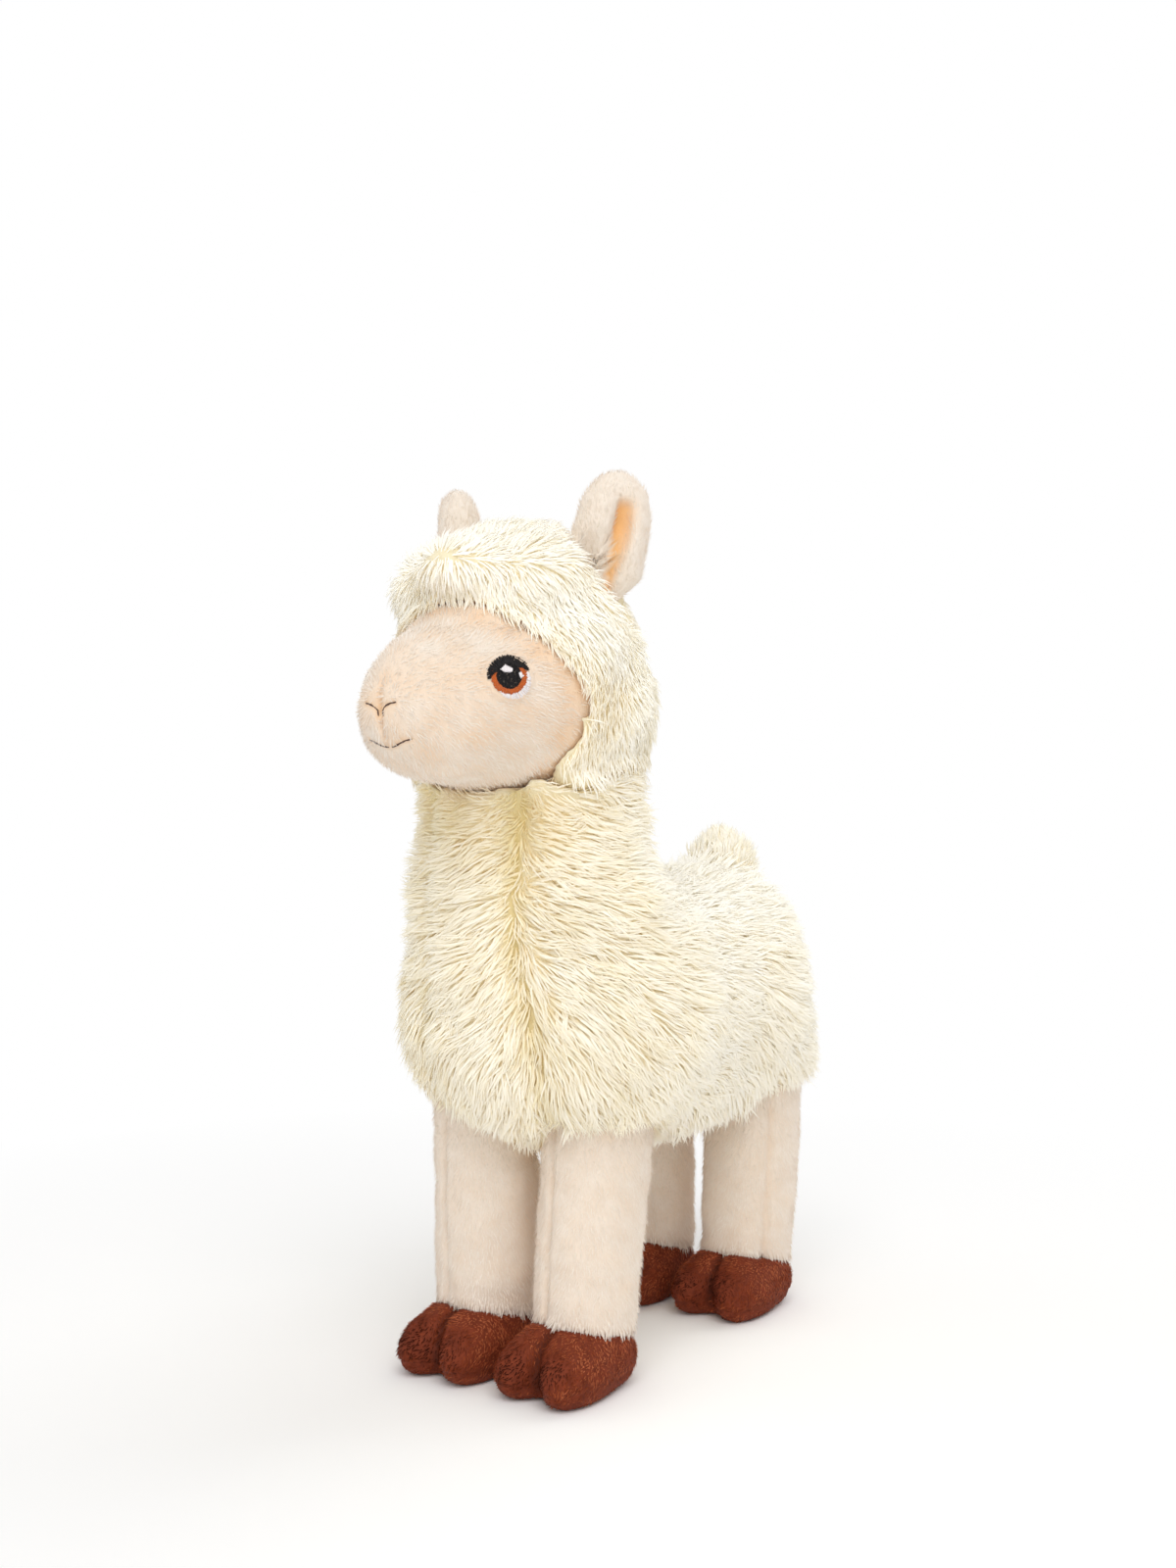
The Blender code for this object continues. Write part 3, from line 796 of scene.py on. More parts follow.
    def finish(self, backing: BackingFinish, warmth: Array | float, fill: float = 0.7) -> None:
        """Makes the skin a piece that stands for its CAD nodes.

        Args:
            backing: its finish.
            warmth: for each point, the share of the warm colour, mostly painted shade.
            fill: not used.
        """
        shade = self.mesh.attributes.new(WARMTH_AND_SHADE, "FLOAT", "POINT")
        rows = np.broadcast_to(np.asarray(warmth, np.float32), (len(self.mesh.vertices),))
        shade.data.foreach_set("value", np.ascontiguousarray(np.clip(rows, 0.0, 1.0)))
        self.mesh.shade_smooth()
        placed(self.name, self.mesh, backing, self.nodes)
        log.info("%s: %d faces", self.name, len(self.mesh.polygons))


# Pile


def everywhere(points: Array) -> Array:
    """The test of a pile that grows as one piece: every root belongs to it."""
    return np.ones(len(points), bool)


@dataclass(frozen=True)
class Coat:
    """What the pile does at each point of a fabric.

    nap is the direction that the pile lies in, tone its colour from pale to deep,
    part random and part painted: painted shade in seams, creases and hollows and painted light
    on tops; cover how much of it stands from 0 to 1, reach its length against the pile's own,
    and lift turns the tufts away from the skin, in degrees.
    """

    nap: Array
    tone: Array
    cover: Array
    reach: Array | float = 1.0
    lift: Array | float = 0.0


@dataclass(frozen=True)
class Stamp:
    """The tuft that is repeated: its points as (across, out, along), its faces, its sunk root."""

    points: Array
    loops: Array
    starts: Array
    triangles: int
    sink: float


def tuft_stamp(bend: float | None, belly: float, sink: float) -> Stamp:
    """Models one tuft as a closed three-sided spike.

    Args:
        bend: where along the tuft it bends, or None for a straight spike.
        belly: its width at the bend against its width at the root.
        sink: how deep its root goes below the skin, in metres.

    Returns:
        The stamp.
    """
    bm = bmesh.new()
    bmesh.ops.create_cone(bm, cap_ends=True, segments=3, radius1=1.0, radius2=0.0, depth=1.0)
    bmesh.ops.translate(bm, verts=bm.verts, vec=(0.0, 0.0, 0.5))
    bmesh.ops.rotate(bm, verts=bm.verts, cent=(0, 0, 0), matrix=Matrix.Rotation(math.pi, 3, "Z"))
    bmesh.ops.remove_doubles(bm, verts=bm.verts, dist=1e-5)
    bmesh.ops.dissolve_degenerate(bm, edges=bm.edges, dist=1e-6)
    if bend is not None:
        geometry = bm.verts[:] + bm.edges[:] + bm.faces[:]
        bmesh.ops.bisect_plane(bm, geom=geometry, plane_co=(0, 0, bend), plane_no=(0, 0, 1))
        ring = [v for v in bm.verts if abs(v.co.z - bend) < 1e-4]
        grow = belly / (1.0 - bend)
        bmesh.ops.scale(bm, verts=ring, vec=(grow, grow, 1.0))
    bmesh.ops.recalc_face_normals(bm, faces=bm.faces)
    bm.verts.index_update()
    points = np.array([v.co[:] for v in bm.verts])
    loops = np.array([v.index for face in bm.faces for v in face.verts])
    sizes = np.array([len(face.verts) for face in bm.faces])
    bm.free()
    starts = np.concatenate(([0], np.cumsum(sizes)[:-1]))
    return Stamp(points, loops, starts, int((sizes - 2).sum()), sink)


LONG_STAMP = tuft_stamp(0.46, 1.05, 0.35 * MM)
DENSE_STAMP = tuft_stamp(0.64, 1.0, 0.35 * MM)
SHORT_STAMP = tuft_stamp(None, 1.0, 0.2 * MM)


@dataclass(frozen=True)
class Pile:
    """A kind of pile: how long, thick, close and steep its tufts are."""

    length: float
    width: float
    spacing: float
    root_angle: float
    tip_angle: float
    wander: float
    clump: float
    clump_size: float
    finish: TuftFinish
    stamp: Stamp = field(default=LONG_STAMP, repr=False)
    flat: float = 0.5
    tone_spread: float = 0.07
    lift_spread: float = 5.0

    def grow(
        self, fabric: Fabric, coat: Coat, panels: dict[str, Callable[[Array], Array]], seed: int
    ) -> None:
        """Grows the pile on a fabric.

        Args:
            fabric: the skin that carries it.
            coat: what it does at each of the skin's points.
            panels: for each piece name, a test of which roots belong to it, in order.
            seed: the seed of every draw.
        """
        rng = np.random.default_rng(seed)
        points, normals, corners = fabric.points, fabric.normals, fabric.corners
        face, weights = self._roots(points, corners, coat.cover, rng)
        ids = corners[face]

        def at(rows: Array | float) -> Array:
            """Values on the skin, carried to the roots."""
            rows = np.broadcast_to(rows, (len(points), *np.shape(rows)[1:]))
            share = weights if rows.ndim == 1 else weights[:, :, None]
            return (rows[ids] * share).sum(axis=1)

        root, out = at(points), unit(at(normals))
        nap = at(coat.nap)
        nap = unit(nap - out * (nap * out).sum(axis=1, keepdims=True))
        turn = np.radians(self.wander) * (
            0.9 * Ripple(7 * MM, seed + 1)(root) + 0.7 * rng.normal(size=len(root))
        )
        across = np.cross(out, nap)
        nap = nap * np.cos(turn)[:, None] + across * np.sin(turn)[:, None]
        across = np.cross(out, nap)
        guide = self._guides(root, rng)
        tall = self.length * at(coat.reach)
        tall = tall * (0.9 + 0.25 * rng.random(len(root))) * (0.88 + 0.24 * rng.random(len(root))[guide])
        lift = at(coat.lift) + rng.normal(size=len(root)) * self.lift_spread
        low = np.radians(self.root_angle + lift)
        high = np.radians(self.tip_angle + lift * 0.7)
        tone = np.clip(at(coat.tone) + self.tone_spread * rng.normal(size=len(root)), 0.03, 0.97)

        def spine(share: float) -> tuple[Array, Array]:
            """Follows the tufts' middles.

            Args:
                share: how far along the tufts, from 0 to 1.

            Returns:
                The way there from each root, and each tuft's angle there.
            """
            bend = high - low
            angle = low + bend * share
            rise = (np.cos(low) - np.cos(angle)) / bend
            run = (np.sin(angle) - np.sin(low)) / bend
            return (out * rise[:, None] + nap * run[:, None]) * tall[:, None], angle

        tip = root + spine(1.0)[0]
        pull = (tip[guide] - tip) * self.clump
        places = np.empty((len(root), len(self.stamp.points), 3))
        for k, (side, up, share) in enumerate(self.stamp.points):
            shift, angle = spine(max(share, 1e-4))
            up_way = out * np.cos(angle)[:, None] - nap * np.sin(angle)[:, None]
            wide = self.width * 0.5 * (0.8 + 0.4 * ((tall / self.length) - 0.6))
            round_way = across * side + up_way * up * self.flat
            places[:, k] = root + shift + pull * share**1.5 + round_way * wide[:, None]
        places -= (out * self.stamp.sink)[:, None, :]
        owner = np.full(len(root), -1)
        for index, (name, test) in enumerate(panels.items()):
            owner[(owner < 0) & test(root)] = index
            mine = owner == index
            if mine.any():
                self._piece(name, places[mine], tone[mine])

    def _roots(
        self, points: Array, corners: Array, cover: Array, rng: np.random.Generator
    ) -> tuple[Array, Array]:
        """Spreads the roots evenly over the faces.

        Args:
            points: the skin's points.
            corners: its faces.
            cover: how much pile stands at each point.
            rng: the draws.

        Returns:
            Each root's face, and its weights on that face's corners.
        """
        a, b, c, d = (points[corners[:, i]] for i in range(4))
        area = 0.5 * np.linalg.norm(np.cross(c - a, d - b), axis=1)
        wanted = area * cover[corners].mean(axis=1) / self.spacing**2
        counts = np.floor(wanted + rng.random(len(corners))).astype(int)
        face = np.repeat(np.arange(len(corners)), counts)
        order = np.arange(len(face)) - np.repeat(np.cumsum(counts) - counts, counts)
        shift = rng.random((len(corners), 2))[face]
        u = (shift[:, 0] + order * 0.7549 + 0.08 * rng.random(len(face))) % 1.0
        v = (shift[:, 1] + order * 0.5698 + 0.08 * rng.random(len(face))) % 1.0
        weights = np.stack([(1 - u) * (1 - v), u * (1 - v), u * v, (1 - u) * v], axis=1)
        return face, weights

    def _guides(self, root: Array, rng: np.random.Generator) -> Array:
        """The tuft that each tuft's tip gathers toward.

        Args:
            root: the roots.
            rng: the draws.

        Returns:
            For each root, the index of its guide.
        """
        cell = np.floor((root + rng.random(3) * self.clump_size) / self.clump_size).astype(int)
        order = rng.permutation(len(root))
        _, first = np.unique(cell[order], axis=0, return_index=True)
        guides = order[first]
        tree = KDTree(len(guides))
        for index, place in enumerate(root[guides]):
            tree.insert(place, index)
        tree.balance()
        return guides[np.array([tree.find(place)[1] for place in root])]

    def _piece(self, name: str, places: Array, tone: Array) -> None:
        """Makes one pile piece of stamped tufts.

        Args:
            name: the piece's name.
            places: each tuft's points.
            tone: each tuft's colour value, partly painted shade.
        """
        stamp = self.stamp
        tufts, count = places.shape[:2]
        mesh = bpy.data.meshes.new(name)
        mesh.vertices.add(tufts * count)
        mesh.vertices.foreach_set("co", places.astype(np.float32).ravel())
        loops = (stamp.loops[None, :] + (np.arange(tufts) * count)[:, None]).ravel()
        starts = (stamp.starts[None, :] + (np.arange(tufts) * len(stamp.loops))[:, None]).ravel()
        mesh.loops.add(len(loops))
        mesh.loops.foreach_set("vertex_index", loops.astype(np.int32))
        mesh.polygons.add(len(starts))
        mesh.polygons.foreach_set("loop_start", starts.astype(np.int32))
        mesh.update(calc_edges=True)
        mesh.validate()
        across = np.clip(tone[:, None] + 0.006 * stamp.points[None, :, 0], 0.002, 0.998)
        along = 0.03 + 0.94 * stamp.points[:, 2] + 0.008 * stamp.points[:, 1]
        place = np.stack([across, np.broadcast_to(along[None, :], across.shape)], axis=2).reshape(-1, 2)
        layer = mesh.uv_layers.new(name=BAKE_MAP)
        layer.uv.foreach_set("vector", place[loops].astype(np.float32).ravel())
        mesh.shade_flat()
        placed(name, mesh, self.finish)
        log.info("%s: %d tufts, %d triangles", name, tufts, tufts * stamp.triangles)


BODY_PILE = Pile(
    length=11.5 * MM,
    width=0.67 * MM,
    spacing=1.05 * MM,
    root_angle=36.0,
    tip_angle=5.0,
    wander=21.0,
    clump=0.4,
    clump_size=4.2 * MM,
    finish=FLEECE_TUFTS,
)
HOOD_PILE = replace(
    BODY_PILE,
    length=7.4 * MM,
    width=0.52 * MM,
    spacing=0.84 * MM,
    root_angle=32.0,
    tip_angle=3.0,
    wander=17.0,
    clump=0.1,
    clump_size=3.0 * MM,
    stamp=DENSE_STAMP,
)
TAIL_PILE = replace(
    HOOD_PILE,
    length=6.5 * MM,
    width=0.78 * MM,
    spacing=0.95 * MM,
    root_angle=64.0,
    tip_angle=36.0,
    wander=26.0,
    clump=0.2,
)
VELVET = Pile(
    length=2.1 * MM,
    width=0.46 * MM,
    spacing=0.80 * MM,
    root_angle=38.0,
    tip_angle=20.0,
    wander=16.0,
    clump=0.0,
    clump_size=3.0 * MM,
    finish=SHORT_TUFTS,
    stamp=SHORT_STAMP,
)
VELOUR = replace(
    VELVET,
    length=1.8 * MM,
    width=0.5 * MM,
    spacing=0.88 * MM,
    root_angle=34.0,
    tip_angle=14.0,
    wander=24.0,
    finish=HOOF_TUFTS,
    tone_spread=0.12,
)
SOLE_VELOUR = replace(
    VELOUR, length=1.4 * MM, spacing=1.0 * MM, finish=replace(HOOF_TUFTS, slot=Slot.SOLE)
)


# Sub-assemblies


@dataclass
class Torso:
    """The torso with its neck: bib, sides and rump in long fleece."""

    skin: float = 3.3 * MM
    inset: float = 4.4 * MM
    bib_seam_depth: float = 2.2 * MM
    bib_seam_width: float = 2.4 * MM
    fore_hem: tuple = (1.5 * MM, 11.0 * MM)
    hind_hem: float = 7.0 * MM
    skirt_hem: float = 4.0 * MM
    chest_y: float = -0.014
    bib_y: float = -0.034
    shoulder_y: float = 0.012
    sewn: tuple = ("hood", "tail", "face")
    legs: tuple = tuple(f"leg_{place.value[0]}" for place in LegPlace)

    def build(self) -> None:
        """Makes the skin and its pile."""
        fabric = Fabric("torso", ["body"], self.skin)
        fabric.smooth(4)
        socket = fabric.pressed(self.legs, 2.5)
        pressed = np.maximum(fabric.pressed(self.sewn, 2.5), socket)
        inset = self.inset * fabric.band(self.sewn, 0.5, 8.0) * (1.0 - socket)
        fabric.push(-inset * (1.0 - 0.6 * self.belly(fabric.points)))
        fabric.smooth(3)
        self.raise_hem(fabric)
        seam = self.seam(fabric)
        fabric.push(-self.bib_seam_depth * seam)
        coat = self.coat(fabric, seam, pressed)
        # The backing takes painted warm shade in the bib seams.
        fabric.finish(FLEECE_BACKING, seam)
        panels = {
            "fleece_bib": lambda p: (np.abs(p[:, 0]) < self.seam_x(p[:, 2])) & (p[:, 1] < self.bib_y),
            "fleece_shoulder_left": lambda p: (p[:, 0] >= 0) & (p[:, 1] < self.shoulder_y),
            "fleece_shoulder_right": lambda p: p[:, 1] < self.shoulder_y,
            "fleece_haunch_left": lambda p: p[:, 0] >= 0,
            "fleece_haunch_right": everywhere,
        }
        BODY_PILE.grow(fabric, coat, panels, 11)

    def raise_hem(self, fabric: Fabric) -> None:
        """Draws the fleece's hem up over the tops of the legs.

        Args:
            fabric: the torso's skin.
        """
        x, y, z = fabric.points.T
        fore = fabric.band(self.legs[:2], 9.0, 2.0) * smoothstep(8.0 * MM, 16.0 * MM, np.abs(x))
        fore = fore * np.where(x > 0, self.fore_hem[1], self.fore_hem[0])
        hind = fabric.band(self.legs[2:], 9.0, 2.0) * smoothstep(0.055, 0.085, y) * self.hind_hem
        skirt = smoothstep(0.084, 0.070, z) * smoothstep(0.0, -0.02, y)
        skirt = skirt * smoothstep(16.0 * MM, 8.0 * MM, np.abs(x)) * self.skirt_hem
        fabric.points = fabric.points + UP * (fore + hind + skirt)[:, None]

    def belly(self, points: Array) -> Array:
        """How much each point lies under the belly, between the fore and hind legs."""
        low = smoothstep(0.090, 0.074, points[:, 2])
        return low * smoothstep(-0.004, 0.012, points[:, 1]) * smoothstep(0.060, 0.044, points[:, 1])

    def seam_x(self, z: Array) -> Array:
        """How far from the middle the bib seams run at each height."""
        wide = 13.2 + 5.8 * smoothstep(0.138, 0.100, z) + 2.0 * smoothstep(0.152, 0.172, z)
        return (wide - 5.5 * smoothstep(0.090, 0.070, z)) * MM

    def seam(self, fabric: Fabric) -> Array:
        """The two bib seams.

        Args:
            fabric: the torso's skin.

        Returns:
            How deep each point lies in one of them, from 0 to 1.
        """
        x, y, z = fabric.points.T
        ahead = smoothstep(0.35, -0.1, fabric.normals[:, 1]) * smoothstep(0.02, -0.01, y - self.chest_y)
        return valley(np.abs(x) - self.seam_x(z), self.bib_seam_width) * ahead

    def coat(self, fabric: Fabric, seam: Array, pressed: Array) -> Coat:
        """The pile's lay on the torso.

        Args:
            fabric: the torso's skin.
            seam: how deep each point lies in a bib seam.
            pressed: how much each point is pressed on a neighbour.

        Returns:
            The coat.
        """
        points = fabric.points
        x, y, z = points.T
        ahead, aside, above = -fabric.normals[:, 1], fabric.normals[:, 0], fabric.normals[:, 2]
        around = np.stack([ahead, aside, np.zeros_like(x)], axis=1)
        outer = np.where(ahead < 0.0, np.sign(x), np.where(x > self.seam_x(z), 1.0, -1.0))
        nape = smoothstep(-0.1, -0.8, ahead)
        low = smoothstep(0.150, 0.085, z)
        front = smoothstep(-0.2, 0.5, ahead)
        down = 0.35 + front * 1.1 * low + 0.9 * smoothstep(0.095, 0.072, z)
        down = down + 0.35 * smoothstep(0.03, 0.09, y) + 0.7 * nape
        nap = around * outer[:, None] * ((1.0 - 0.45 * low * front) * (1.0 - 0.75 * nape))[:, None]
        nap = nap - UP * down[:, None] + BACK * (0.25 + 0.9 * np.clip(above, 0.0, 1.0))[:, None]
        chin = smoothstep(0.150, 0.176, z) * smoothstep(0.0, 0.6, ahead)
        # Painted shade: deeper colour in the bib seams, under the chin and on the forward-facing chest;
        # painted light: paler on upward faces; also paler toward the rear.
        tone = 0.28 + 0.34 * seam + 0.30 * chin * smoothstep(0.03, 0.012, np.abs(x))
        tone = tone + 0.16 * front - 0.28 * smoothstep(0.3, 0.9, above)
        tone = tone - 0.08 * smoothstep(-0.01, 0.05, y) + 0.08 * Ripple(16 * MM, 5)(points)
        reach = 1.0 - 0.30 * seam - 0.45 * chin + 0.05 * Ripple(22 * MM, 6)(points)
        reach = reach * (0.6 + 0.4 * fabric.band(self.sewn, 0.5, 7.0))
        reach = reach * (0.5 + 0.5 * fabric.band(self.legs, 3.0, 15.0))
        reach = reach * (1.0 + 0.6 * self.belly(points))
        lift = 3.0 * Ripple(12 * MM, 7)(points) + 22.0 * chin
        return Coat(nap, tone, 1.0 - pressed, reach, lift)


@dataclass
class Tail:
    """The upright tail tuft."""

    skin: float = 1.6 * MM
    inset: float = 3.2 * MM
    middle: tuple = (0.0, 0.0835, 0.149)
    spread: tuple = (0.4, 0.4, 1.0)
    rise: tuple = (0.0, 1.8 * MM, 6.0 * MM)

    def build(self) -> None:
        """Makes the skin and its pile."""
        fabric = Fabric("tail_core", ["tail"], self.skin)
        fabric.smooth(3)
        pressed = fabric.pressed(["body"], 2.0)
        fabric.push(-self.inset * fabric.band(["body"], 0.4, 5.0))
        nap = (fabric.points - np.array(self.middle)) * np.array(self.spread) + np.array(self.rise)
        tone = 0.08 + 0.05 * Ripple(8 * MM, 8)(fabric.points)
        fabric.finish(FLEECE_BACKING, 0.0)
        TAIL_PILE.grow(fabric, Coat(nap, tone, 1.0 - pressed), {"fleece_tail": everywhere}, 12)


@dataclass
class Hood:
    """The fleece hood: crown, brim roll, cheek rolls and nape."""

    skin: float = 2.3 * MM
    inset: float = 2.8 * MM
    ear_notch: float = 5.0 * MM
    left_notch: float = 1.6
    ears: tuple = ("ear_left", "ear_right")

    def build(self) -> None:
        """Makes the skin and its pile."""
        fabric = Fabric("hood_skin", ["hood"], self.skin)
        fabric.smooth(3)
        x, y, z = fabric.points.T
        ears = fabric.gap(self.ears)
        ahead = Ears().local(np.column_stack([np.abs(x), y, z]), Side.LEFT)[:, 1]
        notch = smoothstep(13.0 * MM, 4.0 * MM, ears) * smoothstep(0.218, 0.228, z)
        notch = notch * smoothstep(2.0 * MM, -3.0 * MM, ahead) * np.where(x > 0, self.left_notch, 1.0)
        pressed = np.maximum(fabric.pressed(["face", "body"], 2.2), fabric.pressed(self.ears, 1.0))
        fabric.push(-self.inset * fabric.band(["face", "body"], 0.7, 5.0) - self.ear_notch * notch)
        fabric.smooth(2)
        coat = self.coat(fabric, pressed, ears)
        fabric.finish(FLEECE_BACKING, 0.15)
        panels = {"fleece_hood_left": lambda p: p[:, 0] >= 0, "fleece_hood_right": everywhere}
        HOOD_PILE.grow(fabric, coat, panels, 13)

    def coat(self, fabric: Fabric, pressed: Array, ears: Array) -> Coat:
        """The pile's lay on the hood.

        Args:
            fabric: the hood's skin.
            pressed: how much each point is pressed on a neighbour.
            ears: how far each point was from the ears before the hood was notched.

        Returns:
            The coat.
        """
        points = fabric.points
        x, above = points[:, 0], fabric.normals[:, 2]
        upward = smoothstep(0.15, 0.65, above)
        nap = np.stack([0.5 * np.sign(x) * smoothstep(0.0, 0.02, np.abs(x)), upward, 0.0 * x], axis=1)
        nap = nap + np.array([0.0, 0.35, -1.0]) * (1.0 - upward)[:, None]
        edge = fabric.band(["face"], 6.0, 1.5)
        nap = nap + np.array([0.0, -0.85, -0.2]) * edge[:, None]
        places, _, gap = nearest(points, self.ears)
        nap = nap + 2.0 * unit(points - places) * smoothstep(10.0 * MM, 4.0 * MM, gap)[:, None]
        # Painted shade: deeper colour along the edge by the face, where the hood meets the neck and on
        # downward faces; painted light: paler on upward faces.
        tone = 0.05 + 0.30 * edge - 0.05 * smoothstep(0.1, 0.8, above)
        tone = tone + 0.12 * fabric.band(["body"], 9.0, 2.0)
        tone = tone + 0.08 * smoothstep(0.2, -0.6, above) + 0.04 * Ripple(13 * MM, 9)(points)
        reach = 1.0 - 0.20 * edge + 0.06 * Ripple(18 * MM, 10)(points)
        reach = reach * (0.32 + 0.68 * smoothstep(1.5 * MM, 9.0 * MM, ears))
        return Coat(nap, tone, 1.0 - pressed, reach, 3.0 * Ripple(10 * MM, 14)(points))


@dataclass
class Face:
    """The short-pile face with its muzzle seam."""

    skin: float = 2.0 * MM
    inset: float = 1.2 * MM
    muzzle_y: float = -0.0862
    muzzle_z: float = 0.198
    seam_height: float = 9.0 * MM
    seam_depth: float = 1.4 * MM
    line_depth: float = 0.35 * MM
    eye_pad: float = 0.9 * MM

    def build(self) -> Fabric:
        """Makes the skin and its pile.

        Returns:
            The face's fabric, for the embroidery that lies on it.
        """
        fabric = Fabric("face_skin", ["face"], self.skin)
        fabric.smooth(5)
        fabric.push(-self.inset * (1.0 - fabric.pressed(["hood", "body"], 1.4)))
        x, y, _ = fabric.points.T
        middle = valley(x, 1.6 * MM) * smoothstep(-0.08, -0.09, y)
        fabric.swell(9.0, 1.2 * MM, np.maximum(fabric.band(["hood"], 6.0, 2.0), middle))
        fabric.subdivide()
        fabric.smooth(3)
        points, normals, hood = fabric.points, fabric.normals, fabric.gap(["hood"])
        seam = valley(points[:, 0], 1.0 * MM) * smoothstep(-0.2, -0.5, normals[:, 1])
        seam = seam * smoothstep(self.muzzle_y, self.muzzle_y - 5 * MM, points[:, 1])
        seam = seam * valley((points[:, 2] - self.muzzle_z) / self.seam_height, 1.0)
        eyes, lines = EYES.over(points), MUZZLE.over(points)
        fabric.push(self.eye_pad * eyes - self.seam_depth * seam - self.line_depth * lines)
        # Painted shade: deeper, warmer colour in the crease under the hood, in the muzzle seam and along the
        # stitched lines; painted light: paler on upward faces, and painted fill light paling the downward
        # faces.
        tone = 0.32 + 0.22 * smoothstep(7.0 * MM, 0.5 * MM, hood) + 0.50 * seam
        tone = tone - 0.10 * smoothstep(0.0, -0.8, normals[:, 2]) + 0.10 * Ripple(11 * MM, 15)(points)
        tone = tone - 0.12 * smoothstep(0.2, 0.8, normals[:, 2]) + 0.3 * lines
        nap = np.array([0.0, 1.0, -0.25]) + 0.35 * normals * np.array([1.0, 0.0, 1.0])
        cover = 0.55 * smoothstep(0.2 * MM, 1.2 * MM, hood) * (1.0 - eyes)
        cover = cover * (1.0 - 0.9 * lines) * (1.0 - 0.5 * seam)
        # The backing's warm colour follows the same painted shade.
        fabric.finish(SHORT_BACKING, tone * 0.8, fill=0.75)
        VELVET.grow(fabric, Coat(nap, tone, cover, 1.0 - 0.4 * seam), {"pile_face": everywhere}, 16)
        return fabric


@dataclass
class Ears:
    """The two padded ears, each with a deep fold that opens forward and outward."""

    skin: float = 1.4 * MM
    base: tuple = (0.029, -0.031, 0.2225)
    turn: float = math.radians(50.0)
    fold_depth: float = 2.6 * MM
    fold_low: float = 0.234
    fold_top: float = 0.2645
    fold_width: float = 6.0 * MM
    rim: float = 0.6 * MM
    root_spread: float = 5.0 * MM
    drop: float = 5.0 * MM
    sewn_depth: float = 9.0 * MM
    sewn_reach: float = 4.5 * MM

    def build(self) -> None:
        """Makes both ears."""
        for side in Side:
            fabric = Fabric(f"ear_skin_{side.word}", [f"ear_{side.word}"], self.skin)
            fabric.smooth(3)
            fabric.push(-0.5 * MM)
            fabric.subdivide()
            rooted = self.rooted(fabric.points, side)
            fabric.points = sunk(rooted, ["hood"], self.sewn_depth, self.sewn_reach)
            inside, rim = self.fold(fabric.points, side)
            fabric.push(self.rim * rim - self.fold_depth * inside)
            fabric.smooth(1)
            # Painted shade: the fold's inside is painted warm orange, standing in for shade and warm bounce
            # light deep in the fold.
            tone = 0.22 + 0.78 * inside + 0.05 * Ripple(9 * MM, 17)(fabric.points)
            cover = 0.55 * (1.0 - fabric.pressed(["hood"], 1.5)) * (1.0 - 0.6 * inside)
            coat = Coat(UP + 0.3 * fabric.normals * LEVEL, tone, cover, 1.0 - 0.5 * inside)
            # The backing takes the same painted shade in the fold.
            fabric.finish(SHORT_BACKING, inside, fill=0.6)
            VELVET.grow(fabric, coat, {f"pile_ear_{side.word}": everywhere}, 18)

    def fold(self, points: Array, side: Side) -> tuple[Array, Array]:
        """The ear's fold.

        Args:
            points: points of the ear's skin.
            side: which ear.

        Returns:
            How deep each point lies in the fold, and how much it stands on the rolled rim.
        """
        across, back, _ = self.local(points, side).T
        height = points[:, 2]
        start = (-3.2 + 4.4 * (height - self.fold_low) / 0.028) * MM
        wide = self.fold_width * (0.4 + 0.6 * smoothstep(self.fold_low, 0.256, height))
        share = (across - start) / wide
        open_way = smoothstep(0.5 * MM, -1.0 * MM, back)
        tall = smoothstep(self.fold_top, self.fold_top - 5 * MM, height)
        inside = smoothstep(-0.18, 0.06, share) * smoothstep(1.3, 0.05, share) * open_way * tall
        return inside, valley(share + 0.45, 0.3) * open_way * tall

    def rooted(self, points: Array, side: Side) -> Array:
        """Spreads the ear's inner half where it enters the hood, and draws its base down.

        Args:
            points: points of the ear's skin.
            side: which ear.

        Returns:
            The moved points.
        """
        across, height = self.local(points, side)[:, 0], points[:, 2]
        share = smoothstep(0.259, 0.243, height) * smoothstep(2.0 * MM, -5.0 * MM, across)
        way = np.array([-math.cos(self.turn) * side.value, -math.sin(self.turn), 0.0])
        drop = self.drop * smoothstep(0.250, 0.236, height)
        return points + way * (self.root_spread * share)[:, None] - UP * drop[:, None]

    def local(self, points: Array, side: Side) -> Array:
        """Points in the ear's own frame.

        Args:
            points: the points.
            side: which ear.

        Returns:
            For each point, how far across, back and up it is from the ear's base.
        """
        mirrored = points * np.array([side.value, 1, 1]) - np.array(self.base)
        c, s = math.cos(self.turn), math.sin(self.turn)
        across = mirrored[:, 0] * c + mirrored[:, 1] * s
        back = -mirrored[:, 0] * s + mirrored[:, 1] * c
        return np.stack([across, back, mirrored[:, 2]], axis=1)


